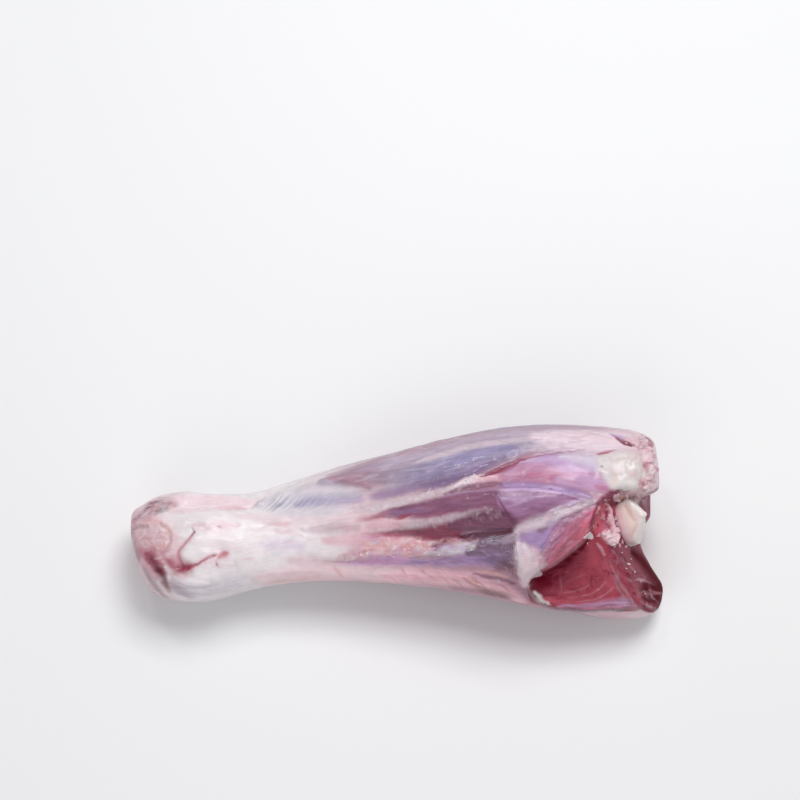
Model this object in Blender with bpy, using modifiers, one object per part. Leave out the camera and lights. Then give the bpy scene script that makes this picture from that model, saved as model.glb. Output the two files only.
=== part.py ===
"""Raw lamb shank, lying on its flatter side, with the bone running through it.

The knuckle is at -X and the cut joint end at +X. The calf side is +Y and the shin side is -Y.
Metres, Z up, the floor at Z 0. An angle round the leg is in degrees from straight up, positive towards +Y.
"""

import math

import bmesh
import bpy
import numpy as np
from mathutils import Matrix, Vector

MM = 0.001

# Driving dimensions of the leg, in millimetres, turned to metres where the shapes are made.
# Each station across the leg: along, shin side, calf side, underside, top, squareness of the outline.
STATIONS = (
    (-106.4, -4.0, 2.5, 16.0, 24.0, 2.2),
    (-105.0, -11.5, 4.5, 9.0, 29.0, 2.4),
    (-100.8, -24.0, 6.0, 2.5, 33.0, 2.6),
    (-93.0, -30.3, 8.0, -1.2, 35.5, 2.9),
    (-83.0, -31.5, 10.0, -1.8, 36.5, 2.9),
    (-72.0, -30.5, 10.5, -0.6, 35.5, 2.7),
    (-58.0, -27.5, 11.0, 3.2, 34.0, 2.4),
    (-42.0, -25.2, 16.0, 6.0, 36.0, 2.3),
    (-22.0, -24.8, 22.0, 6.5, 40.5, 2.2),
    (0.0, -26.2, 27.5, 4.5, 46.0, 2.2),
    (20.0, -28.6, 32.0, 1.0, 51.0, 2.2),
    (40.0, -32.5, 35.5, -1.5, 55.0, 2.2),
    (60.0, -36.4, 36.5, -2.5, 56.5, 2.3),
    (78.0, -37.0, 35.5, -2.0, 54.5, 2.5),
    (92.0, -36.0, 34.0, 0.5, 50.5, 2.6),
    (99.5, -32.5, 31.0, 5.0, 46.0, 2.6),
)
RINGS_PER_STATION = 8
POINTS_ROUND = 96

# Lobes fused to the leg: centre, radii, squareness, turn about Z and tilt about X in degrees.
ANKLE_LOBES = {
    "ankle_cap": ((-96.4, -4.5, 19.5), (9.8, 10.0, 14.5), 2.5, 14.0, 0.0),
    "heel_lobe": ((-88.0, 3.0, 23.5), (14.0, 7.5, 11.0), 2.3, 8.0, 0.0),
    "inner_ankle": ((-77.0, -19.0, 20.0), (17.0, 13.0, 16.5), 2.4, 8.0, 0.0),
}
CUT_MUSCLE = ((79.5, -23.5, 13.5), (26.6, 14.2, 14.5), 2.4, -9.0, 0.0)
JOINT_COLLAR = ((86.4, 13.0, 33.0), (12.6, 15.0, 20.0), 2.4, 0.0, 0.0)

# Seams between the muscles: depth, half width, then points as along and angle round the leg.
SEAMS = {
    "calf_seam": (
        2.2,
        3.2,
        ((-58, 42), (-44, 28), (-31, 23), (-17, 17), (-6, 15), (16, 21), (29, 27), (42, 34), (60, 42), (80, 45)),
    ),
    "upper_shin_seam": (1.5, 2.6, ((-4, 0), (6, 4), (16, 9), (24, 13), (38, 16), (60, 16), (76, 11))),
    "lower_shin_seam": (1.8, 2.8, ((-10, -28), (5, -31), (20, -30), (32, -28), (44, -18), (54, -8), (66, 3))),
    "shin_edge_seam": (1.6, 2.8, ((-30, -60), (-11, -64), (7, -60), (24, -54), (36, -54), (46, -60))),
    "tendon_seam": (1.5, 2.2, ((-86, 37), (-77, 41), (-68, 42), (-57, 42))),
    "ankle_crease": (2.0, 2.2, ((-90, 52), (-88, 29), (-88, 6), (-89, -12), (-87, -29), (-80, -36))),
    "heel_crease": (1.2, 1.8, ((-80, 18), (-82, 2), (-85, -9), (-84, -23), (-80, -30), (-75, -26), (-68, -18))),
    "outer_calf_seam": (2.0, 3.4, ((-52, 62), (-30, 74), (0, 82), (36, 88), (70, 94), (96, 96))),
    "deep_calf_seam": (1.8, 3.4, ((-46, 122), (-14, 128), (20, 132), (56, 136), (88, 138))),
    "under_seam": (1.8, 3.4, ((-40, -150), (-8, -156), (28, -160), (62, -158), (90, -150))),
    "shin_bone_edge": (1.4, 3.0, ((-58, -104), (-24, -102), (12, -104), (46, -108), (84, -106))),
}

# The skin over the fused shapes: its grid, how often it is smoothed, and its triangles.
VOXEL = 1.5 * MM
SMOOTH_STEPS = 5
MEAT_TRIANGLES = 6400
BONE_TRIANGLES = 1000

# The two faces of the cut through the shin muscles, each through three points, and the edge of the
# muscle sheet that overhangs them.
CUT_FACES = {
    "upper_face": ((53.0, -32.0, 35.0), (76.0, -13.0, 45.0), (94.0, -35.0, 24.0)),
    "end_face": ((82.4, -16.5, 41.0), (95.0, -37.0, 22.0), (107.0, -27.0, 6.0)),
}
OVERHANG_EDGE = (
    (46.0, -46.0),
    (47.0, -33.0),
    (50.0, -25.0),
    (57.0, -22.0),
    (64.5, -16.5),
    (69.0, -12.5),
    (72.0, -7.5),
    (74.0, -1.5),
    (79.0, 4.0),
    (90.0, 6.5),
)
CUT_REACH = 120.0

# Hollows round the joint: from above, from the end at the front lobe, from the end at both lobes, and the
# notch between the front lobe and the cut muscle.
HOLLOWS = {
    "top_hollow": ((85.0, -4.5, 53.5), (10.5, 11.5, 13.0), 2.0, 0.0, 0.0),
    "front_hollow": ((107.0, -5.0, 40.0), (15.5, 14.5, 26.0), 2.2, 0.0, 0.0),
    "end_hollow": ((110.0, 8.0, 29.0), (14.5, 22.0, 15.0), 2.3, 0.0, 0.0),
    "notch": ((112.0, -10.0, 18.0), (14.8, 17.0, 42.0), 3.4, 42.0, 0.0),
}

# The bone: centreline points with radii, then its lobes, two at the joint and one at the ankle.
BONE_LINE = (
    ((-90.0, -8.0, 17.5), 9.5),
    ((-78.0, -8.0, 17.5), 8.5),
    ((-55.0, -6.5, 18.5), 7.0),
    ((-20.0, -1.5, 22.0), 6.8),
    ((25.0, 3.0, 25.5), 7.4),
    ((60.0, 7.0, 27.5), 9.0),
    ((82.0, 9.0, 28.5), 12.0),
)
BONE_SIDES = 24
BONE_LOBES = {
    "back_condyle": ((87.0, 17.5, 28.0), (12.5, 11.5, 13.0), 2.3, 0.0, 0.0),
    "ankle_end": ((-88.0, -9.5, 17.5), (9.5, 13.0, 10.5), 2.4, 0.0, 0.0),
}
# The front condyle is angular: the corners of its top, then those of its foot.
CONDYLE_CORNERS = (
    (87.6, 4.8, 43.5),
    (94.3, -1.5, 43.0),
    (93.9, -6.2, 40.0),
    (92.8, -11.8, 35.0),
    (87.4, -11.8, 36.0),
    (83.8, -7.2, 39.5),
    (81.2, 1.6, 41.5),
    (88.0, 7.5, 17.0),
    (93.6, 0.0, 18.0),
    (91.4, -10.5, 20.0),
    (84.4, -9.0, 18.0),
    (81.0, 2.0, 17.0),
)
BONE_GAP = 0.5

# The block below the floor, in metres.
FLOOR_BLOCK = (0.3, 0.2, 0.05)

# Colour and roughness.
MEAT_LOOK = ((0.50, 0.20, 0.24), 0.38)
BONE_LOOK = ((0.80, 0.73, 0.58), 0.30)


def collection(name):
    """A new collection in the scene."""
    made = bpy.data.collections.new(name)
    bpy.context.scene.collection.children.link(made)
    return made


def mesh_object(name, mesh, home):
    """An object that shows this mesh, in one collection."""
    obj = bpy.data.objects.new(name, mesh)
    home.objects.link(obj)
    return obj


def mesh_from(bm, name):
    """The finished mesh of one bmesh."""
    mesh = bpy.data.meshes.new(name)
    bm.to_mesh(mesh)
    bm.free()
    return mesh


def hide_helper(obj):
    """Marks a cutter, which isn't part of the shank."""
    obj.hide_render = True
    obj.display_type = "WIRE"
    return obj


def smooth_rows(rows, steps):
    """Rows of numbers joined by a Catmull-Rom curve, with this many steps between two rows."""
    rows = np.array(rows, float)
    padded = np.vstack([2 * rows[0] - rows[1], rows, 2 * rows[-1] - rows[-2]])
    found = []
    for i in range(1, len(rows)):
        before, start, end, after = padded[i - 1 : i + 3]
        for t in np.arange(steps) / steps:
            found.append(
                0.5
                * (
                    2 * start
                    + (end - before) * t
                    + (2 * before - 5 * start + 4 * end - after) * t**2
                    + (3 * start - before - 3 * end + after) * t**3
                )
            )
    return np.array(found + [rows[-1]])


def rounded(values, squareness):
    """Sines or cosines pulled towards a square outline."""
    return np.sign(values) * np.abs(values) ** (2 / squareness)


def seam_depths(seams, along, angles, radii):
    """How deep the seams cut at the points of one ring, in millimetres."""
    depths = np.zeros(len(angles))
    for deepest, half_width, line in seams:
        across = (np.degrees(angles)[:, None] - line[:, 1] + 180) % 360 - 180
        apart = np.hypot(along - line[:, 0], np.radians(across) * radii[:, None]).min(axis=1)
        depths = np.maximum(depths, deepest * np.exp(-((apart / half_width) ** 2)))
    return depths


def leg_rings():
    """Rings of points along the leg, in millimetres, with the muscle seams pressed in."""
    seams = [(depth, width, smooth_rows(points, 6)) for depth, width, points in SEAMS.values()]
    turns = np.arange(POINTS_ROUND) * 2 * math.pi / POINTS_ROUND
    for along, shin, calf, under, top, squareness in smooth_rows(STATIONS, RINGS_PER_STATION):
        across = (calf - shin) / 2 * rounded(np.sin(turns), squareness)
        height = (top - under) / 2 * rounded(np.cos(turns), squareness)
        radii = np.hypot(across, height)
        pressed = seam_depths(seams, along, np.arctan2(across, height), radii)
        share = 1 - pressed / np.maximum(radii, 6 * pressed + 1)
        middle = ((shin + calf) / 2, (under + top) / 2)
        yield [(along, middle[0] + y * s, middle[1] + z * s) for y, z, s in zip(across, height, share)]


def loft_mesh(name, rings):
    """The closed skin through rings of points given in millimetres."""
    bm = bmesh.new()
    rows = [[bm.verts.new(Vector(point) * MM) for point in ring] for ring in rings]
    for row, after in zip(rows, rows[1:]):
        for i in range(len(row)):
            j = (i + 1) % len(row)
            bm.faces.new((row[i], row[j], after[j], after[i]))
    bm.faces.new(rows[0])
    bm.faces.new(rows[-1])
    bmesh.ops.recalc_face_normals(bm, faces=bm.faces)
    return mesh_from(bm, name)


def lobe_mesh(name, centre, radii, squareness, turn, tilt):
    """A ball with its own radius along each axis, pulled towards a box by its squareness."""
    bm = bmesh.new()
    bmesh.ops.create_uvsphere(bm, u_segments=40, v_segments=24, radius=1)
    for vert in bm.verts:
        vert.co = Vector(rounded(np.array(vert.co), squareness)) * Vector(vert.co).length
    size = Matrix.Diagonal(Vector(radii) * MM).to_4x4()
    turned = Matrix.Rotation(math.radians(turn), 4, "Z") @ Matrix.Rotation(math.radians(tilt), 4, "X")
    place = Matrix.Translation(Vector(centre) * MM) @ turned
    bmesh.ops.transform(bm, matrix=place @ size, verts=bm.verts)
    return mesh_from(bm, name)


def cornered_mesh(name, corners):
    """The solid whose flat sides run between these corners."""
    bm = bmesh.new()
    for corner in corners:
        bm.verts.new(Vector(corner) * MM)
    bmesh.ops.convex_hull(bm, input=bm.verts)
    bmesh.ops.recalc_face_normals(bm, faces=bm.faces)
    return mesh_from(bm, name)


def shaft_mesh(name, line):
    """A round shaft that swells and narrows along its centreline."""
    turns = np.arange(BONE_SIDES) * 2 * math.pi / BONE_SIDES
    rows = smooth_rows([(*point, radius) for point, radius in line], 6)
    rings = [[(x, y + radius * math.sin(a), z + radius * math.cos(a)) for a in turns] for x, y, z, radius in rows]
    return loft_mesh(name, rings)


def settle(obj):
    """Replaces the object's mesh by what its modifiers make of it."""
    graph = bpy.context.evaluated_depsgraph_get()
    mesh = bpy.data.meshes.new_from_object(obj.evaluated_get(graph))
    obj.modifiers.clear()
    obj.data = mesh


def triangle_count(mesh):
    """How many triangles the mesh's faces make."""
    mesh.calc_loop_triangles()
    return len(mesh.loop_triangles)


def one_skin(name, meshes, home):
    """One object whose skin goes round several overlapping meshes."""
    bm = bmesh.new()
    for mesh in meshes:
        bm.from_mesh(mesh)
    obj = mesh_object(name, mesh_from(bm, name), home)
    remesh = obj.modifiers.new("One skin", "REMESH")
    remesh.mode = "VOXEL"
    remesh.voxel_size = VOXEL
    settle(obj)
    return obj


def soften(obj, triangles):
    """Smooths the object's mesh and thins it to about so many triangles."""
    smooth = obj.modifiers.new("Soften", "SMOOTH")
    smooth.factor = 0.5
    smooth.iterations = SMOOTH_STEPS
    thin = obj.modifiers.new("Thin", "DECIMATE")
    thin.ratio = triangles / triangle_count(obj.data)
    settle(obj)


def make_face_cutter(name, points, home):
    """All that is above one face of the cut, bounded by the overhanging sheet's edge."""
    first, second, third = (Vector(point) for point in points)
    out = (second - first).cross(third - first)
    edge = smooth_rows(OVERHANG_EDGE, 4)
    outline = [*edge, (CUT_REACH, edge[-1][1]), (CUT_REACH, edge[0][1])]
    bm = bmesh.new()
    low = []
    for x, y in outline:
        height = first.z - (out.x * (x - first.x) + out.y * (y - first.y)) / out.z
        low.append(bm.verts.new(Vector((x, y, height)) * MM))
    raised = bmesh.ops.extrude_face_region(bm, geom=[bm.faces.new(low)])
    for item in raised["geom"]:
        if isinstance(item, bmesh.types.BMVert):
            item.co.z += CUT_REACH * MM
    bmesh.ops.recalc_face_normals(bm, faces=bm.faces)
    return hide_helper(mesh_object(name, mesh_from(bm, name), home))


def make_floor_cutter(home):
    """Everything below the surface that the shank rests on."""
    size = Vector(FLOOR_BLOCK)
    bm = bmesh.new()
    bmesh.ops.create_cube(bm, size=1)
    place = Matrix.Translation((0, 0, -size.z / 2)) @ Matrix.Diagonal(size).to_4x4()
    bmesh.ops.transform(bm, matrix=place, verts=bm.verts)
    return hide_helper(mesh_object("floor_cut", mesh_from(bm, "floor_cut"), home))


def make_hollow_cutters(home):
    """The hollows that bare the joint's two lobes."""
    for name, lobe in HOLLOWS.items():
        yield hide_helper(mesh_object(name, lobe_mesh(name, *lobe), home))


def make_bone(home):
    """The shin bone with its joint lobes and its ankle end."""
    lobes = [lobe_mesh(name, *lobe) for name, lobe in BONE_LOBES.items()]
    lobes.append(cornered_mesh("front_condyle", CONDYLE_CORNERS))
    bone = one_skin("shank_bone", [shaft_mesh("bone_shaft", BONE_LINE), *lobes], home)
    soften(bone, BONE_TRIANGLES)
    return bone


def make_bore_cutter(bone, home):
    """The bone, grown by its gap, which makes its bed in the meat."""
    bore = hide_helper(mesh_object("bone_bed", bone.data.copy(), home))
    grow = bore.modifiers.new("Gap", "DISPLACE")
    grow.strength = BONE_GAP * MM
    grow.mid_level = 0
    return bore


def make_meat(home, cutters):
    """The muscles in their skin, trimmed to the cut's faces and hollowed round the joint."""
    lobes = [*ANKLE_LOBES.items(), ("joint_collar", JOINT_COLLAR), ("cut_muscle", CUT_MUSCLE)]
    lobe_meshes = [lobe_mesh(name, *lobe) for name, lobe in lobes]
    leg = one_skin("whole_leg", [loft_mesh("leg", leg_rings()), *lobe_meshes], cutters)
    for name, points in CUT_FACES.items():
        cut(leg, make_face_cutter(name, points, cutters))
    for cutter in make_hollow_cutters(cutters):
        cut(leg, cutter)
    settle(leg)
    meat = one_skin("shank_meat", [leg.data], home)
    bpy.data.objects.remove(leg)
    soften(meat, MEAT_TRIANGLES)
    return meat


def cut(obj, cutter):
    """Takes a cutter's shape out of the object."""
    modifier = obj.modifiers.new(cutter.name, "BOOLEAN")
    modifier.operation = "DIFFERENCE"
    modifier.object = cutter


def give_look(obj, colour, roughness):
    """A plain moist finish."""
    material = bpy.data.materials.new(obj.name)
    material.use_nodes = True
    shader = material.node_tree.nodes["Principled BSDF"]
    shader.inputs["Base Color"].default_value = (*colour, 1)
    shader.inputs["Roughness"].default_value = roughness
    obj.data.materials.append(material)


def shade_round(obj):
    """Smooth shading, with the cuts' edges kept sharp."""
    obj.data.shade_smooth()
    obj.data.set_sharp_from_angle(angle=math.radians(40))


def centre_footprint(objects):
    """Moves everything so that the origin is under the middle of the shank."""
    bpy.context.view_layer.update()
    graph = bpy.context.evaluated_depsgraph_get()
    corners = []
    for obj in objects:
        shown = obj.evaluated_get(graph)
        corners += [shown.matrix_world @ Vector(corner) for corner in shown.bound_box]
    low = Vector(min(c[i] for c in corners) for i in range(3))
    high = Vector(max(c[i] for c in corners) for i in range(3))
    shift = Matrix.Translation((-(low.x + high.x) / 2, -(low.y + high.y) / 2, -low.z))
    for obj in bpy.data.objects:
        obj.data.transform(shift)


def main():
    """Builds the bone and the meat round it."""
    for obj in list(bpy.data.objects):
        bpy.data.objects.remove(obj)
    shank = collection("lamb_shank")
    cutters = collection("cutters")
    bone = make_bone(shank)
    meat = make_meat(shank, cutters)
    cut(meat, make_bore_cutter(bone, cutters))
    cut(meat, make_floor_cutter(cutters))
    settle(meat)
    give_look(meat, *MEAT_LOOK)
    give_look(bone, *BONE_LOOK)
    for obj in (meat, bone):
        shade_round(obj)
    centre_footprint((meat, bone))


main()
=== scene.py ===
"""Finish and lighting of a raw lamb shank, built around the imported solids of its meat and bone.

The knuckle is at -X and the cut joint end at +X. The calf side is +Y and the shin side is -Y.
Metres, Z up. What shows in the photograph is placed by its pixels, which are cast on the skin through the
camera.
"""

import math
from typing import NamedTuple

import bmesh
import bpy
import numpy as np
from bpy.props import FloatProperty, FloatVectorProperty, IntProperty, PointerProperty
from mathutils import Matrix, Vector
from mathutils.bvhtree import BVHTree
from mathutils.geometry import delaunay_2d_cdt


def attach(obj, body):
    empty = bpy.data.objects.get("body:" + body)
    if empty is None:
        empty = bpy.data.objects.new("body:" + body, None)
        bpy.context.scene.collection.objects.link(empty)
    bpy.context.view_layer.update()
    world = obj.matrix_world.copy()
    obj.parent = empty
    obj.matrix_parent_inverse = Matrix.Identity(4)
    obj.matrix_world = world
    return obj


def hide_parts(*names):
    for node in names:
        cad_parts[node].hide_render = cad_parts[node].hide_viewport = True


bl_info = {
    "name": "Raw Lamb Shank",
    "version": (1, 0, 0),
    "blender": (4, 5, 0),
    "location": "3D Viewport > Sidebar > Lamb Shank",
    "description": "Skins, paints and lights a raw lamb shank around its packed solids",
    "category": "Mesh",
}

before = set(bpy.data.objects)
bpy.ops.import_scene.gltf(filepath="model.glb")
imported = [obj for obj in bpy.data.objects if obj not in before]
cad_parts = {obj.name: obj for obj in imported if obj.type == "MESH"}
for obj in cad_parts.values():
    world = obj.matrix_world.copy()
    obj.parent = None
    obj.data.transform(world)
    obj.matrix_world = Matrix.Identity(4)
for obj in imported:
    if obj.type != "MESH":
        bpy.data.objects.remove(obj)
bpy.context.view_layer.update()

MM = 0.001
MEAT_NODE = "shank_meat"
BONE_NODE = "shank_bone"

# The photograph's square frame in pixels, and where its camera looks.
PHOTO_SIDE = 800
AIM = Vector((0.0008, 0.0495, 0.022))
ELEVATION = math.radians(77)
DISTANCE = 0.755
LENS = 85.0
SENSOR = 36.0
BACK = Vector((0, -math.cos(ELEVATION), math.sin(ELEVATION)))
UPRIGHT = Vector((0, math.sin(ELEVATION), math.cos(ELEVATION)))
EYE = AIM + BACK * DISTANCE
PIXEL_SLOPE = SENSOR / LENS / PHOTO_SIDE
# One pixel of the photograph at the shank, in mm.
PIXEL = 0.4

# The least share by which the skin must face the photograph's camera to keep its full grid.
FACING_LEAST = 0.25

# Strokes of the photograph come in between these shares by which the skin faces its camera.
SHOWN_FROM = (0.04, 0.3)

# Strokes thinner than this half width are laid this wide and fainter, so that the grid can hold them.
THINNEST = 0.32 * MM

# How the edges of strokes wander: the size of the wide and the fine bends, and how many mm they reach.
WANDER, WANDER_REACH = 5 * MM, 0.9
RIPPLE, RIPPLE_REACH = 1.6 * MM, 0.45

# The gaps in grainy tissue: the size of the coarse and the fine grains, and the fine ones' share.
COARSE_GRAIN, FINE_GRAIN, FINE_SHARE = 1.1 * MM, 0.6 * MM, 0.6

# The skin's own uneven swell: the size and the height in mm of its wide and its fine bumps.
SWELL, SWELL_HEIGHT = 5 * MM, 0.16
BUMPS, BUMPS_HEIGHT = 1.8 * MM, 0.06

# The radii in Y and Z of the round leg that the fibres' pattern is drawn on.
GRAIN_RADII = (30 * MM, 24 * MM)

# How far apart the leg's sections are, and how far to each side of one its points are gathered.
SECTION_STEP, SECTION_REACH = 5 * MM, 3 * MM

# Up to here along X the bone's bed is filled, because nothing of it shows.
BED_MOUTH = 70 * MM

# The two faces of the cut, each through three points, and the hollows round the joint as centre, radii,
# squareness and turn about Z in degrees, in mm, as the solids have them.
CUT_FACES = {
    "near_face": ((53.0, -32.0, 35.0), (76.0, -13.0, 45.0), (94.0, -35.0, 24.0)),
    "end_face": ((82.4, -16.5, 41.0), (95.0, -37.0, 22.0), (107.0, -27.0, 6.0)),
}
CUT_START = 49.5 * MM

# How far the bone is grown, to meet the meat that holds it, and how far its copy that fills the bed is.
BONE_GROWTH = 0.6 * MM
FILLER_GROWTH = 0.7 * MM

# The edge of the muscle sheet that overhangs the cut, as x and y in mm.
CUT_EDGE = (
    (46.0, -46.0), (47.0, -33.0), (50.0, -25.0), (57.0, -22.0), (64.5, -16.5), (69.0, -12.5), (72.0, -7.5),
    (74.0, -1.5), (79.0, 4.0), (90.0, 6.5),
)
HOLLOWS = (
    ((85.0, -4.5, 53.5), (10.5, 11.5, 13.0), 2.0, 0.0),
    ((107.0, -5.0, 40.0), (15.5, 14.5, 26.0), 2.2, 0.0),
    ((110.0, 8.0, 29.0), (14.5, 22.0, 15.0), 2.3, 0.0),
    ((112.0, -10.0, 18.0), (14.8, 17.0, 42.0), 3.4, 42.0),
)


def linear(code):
    """A colour written as sRGB hex, in linear light."""
    parts = [int(code[i : i + 2], 16) / 255 for i in (1, 3, 5)]
    return tuple(c / 12.92 if c <= 0.04045 else ((c + 0.055) / 1.055) ** 2.4 for c in parts)


def tissue(name, code, description):
    """A colour setting for one kind of tissue."""
    label = name.replace("_", " ").capitalize()
    return FloatVectorProperty(
        name=label, description=description, subtype="COLOR", size=3, min=0, max=1, default=linear(code)
    )


# Each kind of tissue: its colour, what it is, and how it finishes, as roughness, strength of its fibres,
# graininess of its fat, and wetness.
TISSUES = {
    "tendon_white": ("#e9e1e4", "Dense tendon and sheath round the ankle", (0.46, 0.25, 0.10, 0.22)),
    "tendon_pink": ("#e3c8cf", "Tendon over a little blood", (0.44, 0.25, 0.15, 0.28)),
    "fat_white": ("#e8e0de", "Firm clean fat", (0.40, 0.05, 0.45, 0.34)),
    "fat_cream": ("#dac8d0", "Soft fat along the seams", (0.44, 0.10, 0.60, 0.34)),
    "fat_pink": ("#d8aab6", "Fat and loose tissue stained by the meat", (0.42, 0.20, 0.50, 0.34)),
    # Fat orange also darkens the creases round the joint and the cartilage, as painted shade.
    "fat_orange": ("#dba79e", "Warm bits of fat near blood", (0.42, 0.10, 0.60, 0.34)),
    "cartilage": ("#e0cbc6", "Bare cartilage of the joint", (0.34, 0.00, 0.00, 0.60)),
    "skin_grey": ("#a596a7", "Thick silverskin over the calf muscle", (0.44, 0.30, 0.00, 0.28)),
    "skin_blue": ("#978fb2", "Silverskin that scatters blue over dark meat", (0.46, 0.35, 0.00, 0.28)),
    "skin_violet": ("#8c7398", "Thin silverskin over dark meat", (0.44, 0.35, 0.00, 0.30)),
    "skin_lilac": ("#c6aad1", "Pale silverskin near the joint", (0.38, 0.30, 0.00, 0.34)),
    "skin_white": ("#d6ced8", "Where silverskin runs into tendon", (0.42, 0.30, 0.05, 0.32)),
    # Skin dusk is also laid as painted shade, at the lower right of the front and under the knuckle's white
    # ridge.
    "skin_dusk": ("#745c72", "Silverskin over the darkest meat", (0.38, 0.50, 0.10, 0.36)),
    "stripe_slate": ("#8b8da8", "Dark lines in the tendon's fan", (0.42, 0.20, 0.00, 0.30)),
    "meat_pink": ("#cc94b6", "Muscle seen through thin clear skin", (0.42, 0.25, 0.00, 0.28)),
    "meat_brown": ("#ad8797", "Muscle seen through thick skin", (0.42, 0.50, 0.00, 0.32)),
    "meat_violet": ("#a0769a", "Dark muscle under clear skin", (0.38, 0.35, 0.00, 0.32)),
    "meat_mauve": ("#865a72", "Bare dark muscle", (0.40, 0.60, 0.00, 0.26)),
    "meat_plum": ("#6b4056", "The darkest muscle", (0.36, 0.90, 0.00, 0.28)),
    "meat_red": ("#8c3f57", "Red muscle in the seams", (0.34, 0.80, 0.10, 0.28)),
    # Cut bright and cut dull are the lit and the shaded colour of the same cut muscle, as painted light and
    # shade.
    "cut_bright": ("#a84d5b", "Freshly cut muscle", (0.36, 0.25, 0.15, 0.16)),
    "cut_dull": ("#8f4656", "Cut muscle turned away from the light", (0.34, 0.25, 0.25, 0.16)),
    # This darkest cut red is painted shade in the cut's corners, under the overhanging sheet, at the cut's
    # far end and in the knuckle's fold, and dark flecks of blood on the cut.
    "cut_blood_and_shade": ("#5e1f2a", "Blood-filled corners of the cut", (0.40, 0.20, 0.15, 0.03)),
    "cut_warm": ("#b45866", "Thin cut muscle that lets light through", (0.34, 0.25, 0.15, 0.20)),
    "cut_rose": ("#b5647a", "Thin muscle at the edge of a sheet", (0.36, 0.60, 0.10, 0.26)),
    "blood": ("#a5495c", "Blood in the creases of the knuckle", (0.34, 0.10, 0.20, 0.25)),
    "crease": ("#5c383f", "Folds of tissue in shade", (0.44, 0.20, 0.20, 0.10)),
    "film": ("#ae929f", "Torn membrane at the cut's rim", (0.34, 0.20, 0.00, 0.45)),
}
FINISH = {name: finish for name, (_, _, finish) in TISSUES.items()}


class TissueColours(bpy.types.PropertyGroup):
    """Colours of the shank's tissues."""

    __annotations__ = {name: tissue(name, code, about) for name, (code, about, _) in TISSUES.items()}


class ShankSizes(bpy.types.PropertyGroup):
    """Sizes of the shank's surface."""

    grid: FloatProperty(
        name="Skin grid", description="Spacing of the skin's points where it is seen", default=0.55 * MM,
        unit="LENGTH",
    )
    triangles: IntProperty(name="Triangles", description="How many the skin keeps", default=192000, min=1000)
    smoothing: IntProperty(name="Smoothing", description="How often the skin is smoothed", default=8, min=0)
    relief: FloatProperty(name="Relief", description="Strength of the painted relief", default=1.0, min=0)
    sheen: FloatProperty(name="Sheen", description="What wetness adds to every colour", default=0.018, min=0)
    seed: IntProperty(name="Seed", description="Seed of every random draw", default=7)


class StageSettings(bpy.types.PropertyGroup):
    """Sizes and strengths of the studio."""

    floor_side: FloatProperty(name="Floor side", description="Side of the floor", default=6.0, unit="LENGTH")
    key: FloatProperty(name="Key light", description="Power of the main light", default=6.6, unit="POWER")
    fill: FloatProperty(name="Fill light", description="Power of the fill light", default=2.6, unit="POWER")
    glint: FloatProperty(name="Glint light", description="Power of the hard light", default=0.6, unit="POWER")
    sky: FloatProperty(name="Sky light", description="Strength of the even light all round", default=0.36)
    floor_colour: tissue("floor", "#f2f2f3", "Pale matt floor")


class Stroke(NamedTuple):
    """One band of tissue: its points with half widths in mm, and how it lies on the skin.

    Tone lightens or darkens the tissue, soft is the width of its edge, relief its height in mm, ragged how
    much it wanders, streaks the strength of lines along it, grainy how much it breaks up, and fade how many
    mm it takes to come in at its start and to go out at its end.
    """

    tissue: str
    points: tuple
    strength: float = 0.85
    tone: float = 1.0
    soft: float = 1.0
    relief: float = 0.0
    ragged: float = 0.4
    streaks: float = 0.0
    grainy: float = 0.0
    fade: tuple = (0, 0)


# What the photograph shows, in regions. Points are x and y in the photograph and half width in mm.
SHAFT = {
    "white_shaft": Stroke("tendon_white", ((176, 545, 13), (220, 547, 13), (262, 545, 13), (296, 543, 11),
        (326, 541, 7)), soft=0.6),
    "shaft_light": Stroke("tendon_white", ((222, 538, 6), (262, 534, 7), (304, 536, 5)), 0.65, 1.22),
    "lavender": Stroke("skin_lilac", ((266, 546, 1.4), (284, 545, 2.4), (302, 546, 1.6)), 0.35),
    "low_pink": Stroke("fat_pink", ((290, 560, 1.4), (308, 562, 2.6), (326, 563, 1.8)), 0.45),
    "upper_pink": Stroke("tendon_pink", ((236, 516, 1), (270, 519, 2), (310, 519, 2.4), (345, 517, 1.6)),
        0.5),
    "edge_orange": Stroke("fat_orange", ((268, 583, 1), (284, 580, 1.8), (304, 577, 2.2), (322, 577, 1.4)),
        0.5, 1.08, soft=0.9),
    "pink_thread": Stroke("blood", ((260, 523.5, 0.3), (278, 524.2, 0.7), (298, 523.4, 0.3)), 0.3, 1.5,
        fade=(5, 5)),
    "brown_shade": Stroke("meat_brown", ((302, 530, 0.6), (320, 529, 1.8), (340, 528, 2), (358, 527, 1)),
        0.5, 1.1, ragged=0.8, streaks=0.2),
    "cord": Stroke("tendon_pink", ((176, 504, 3.4), (200, 501, 4), (225, 501, 4), (248, 503.5, 2.6),
        (260, 504, 0.8)), 0.7, 1.16, soft=0.35, relief=0.7),
    "cord_light": Stroke("tendon_white", ((190, 495.5, 1), (215, 496, 1.4), (240, 497.5, 1.2),
        (257, 500, 0.8)), 0.8, soft=0.7),
    "cord_groove": Stroke("tendon_pink", ((168, 513, 0.8), (190, 511, 0.8), (214, 509, 0.7),
        (234, 509.5, 0.8), (251, 509.5, 0.5)), 0.4, 0.94, soft=0.9, relief=-0.4, ragged=0.9, fade=(6, 8)),
    "cord_blood": Stroke("fat_pink", ((212, 507.6, 0.4), (232, 508.6, 0.9), (252, 509.4, 0.4)), 0.5,
        fade=(4, 4)),
    "small_fold": Stroke("crease", ((234, 558, 0.15), (236, 563, 0.25), (238, 569, 0.15)), 0.25, 1.6,
        soft=0.8),
}

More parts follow.
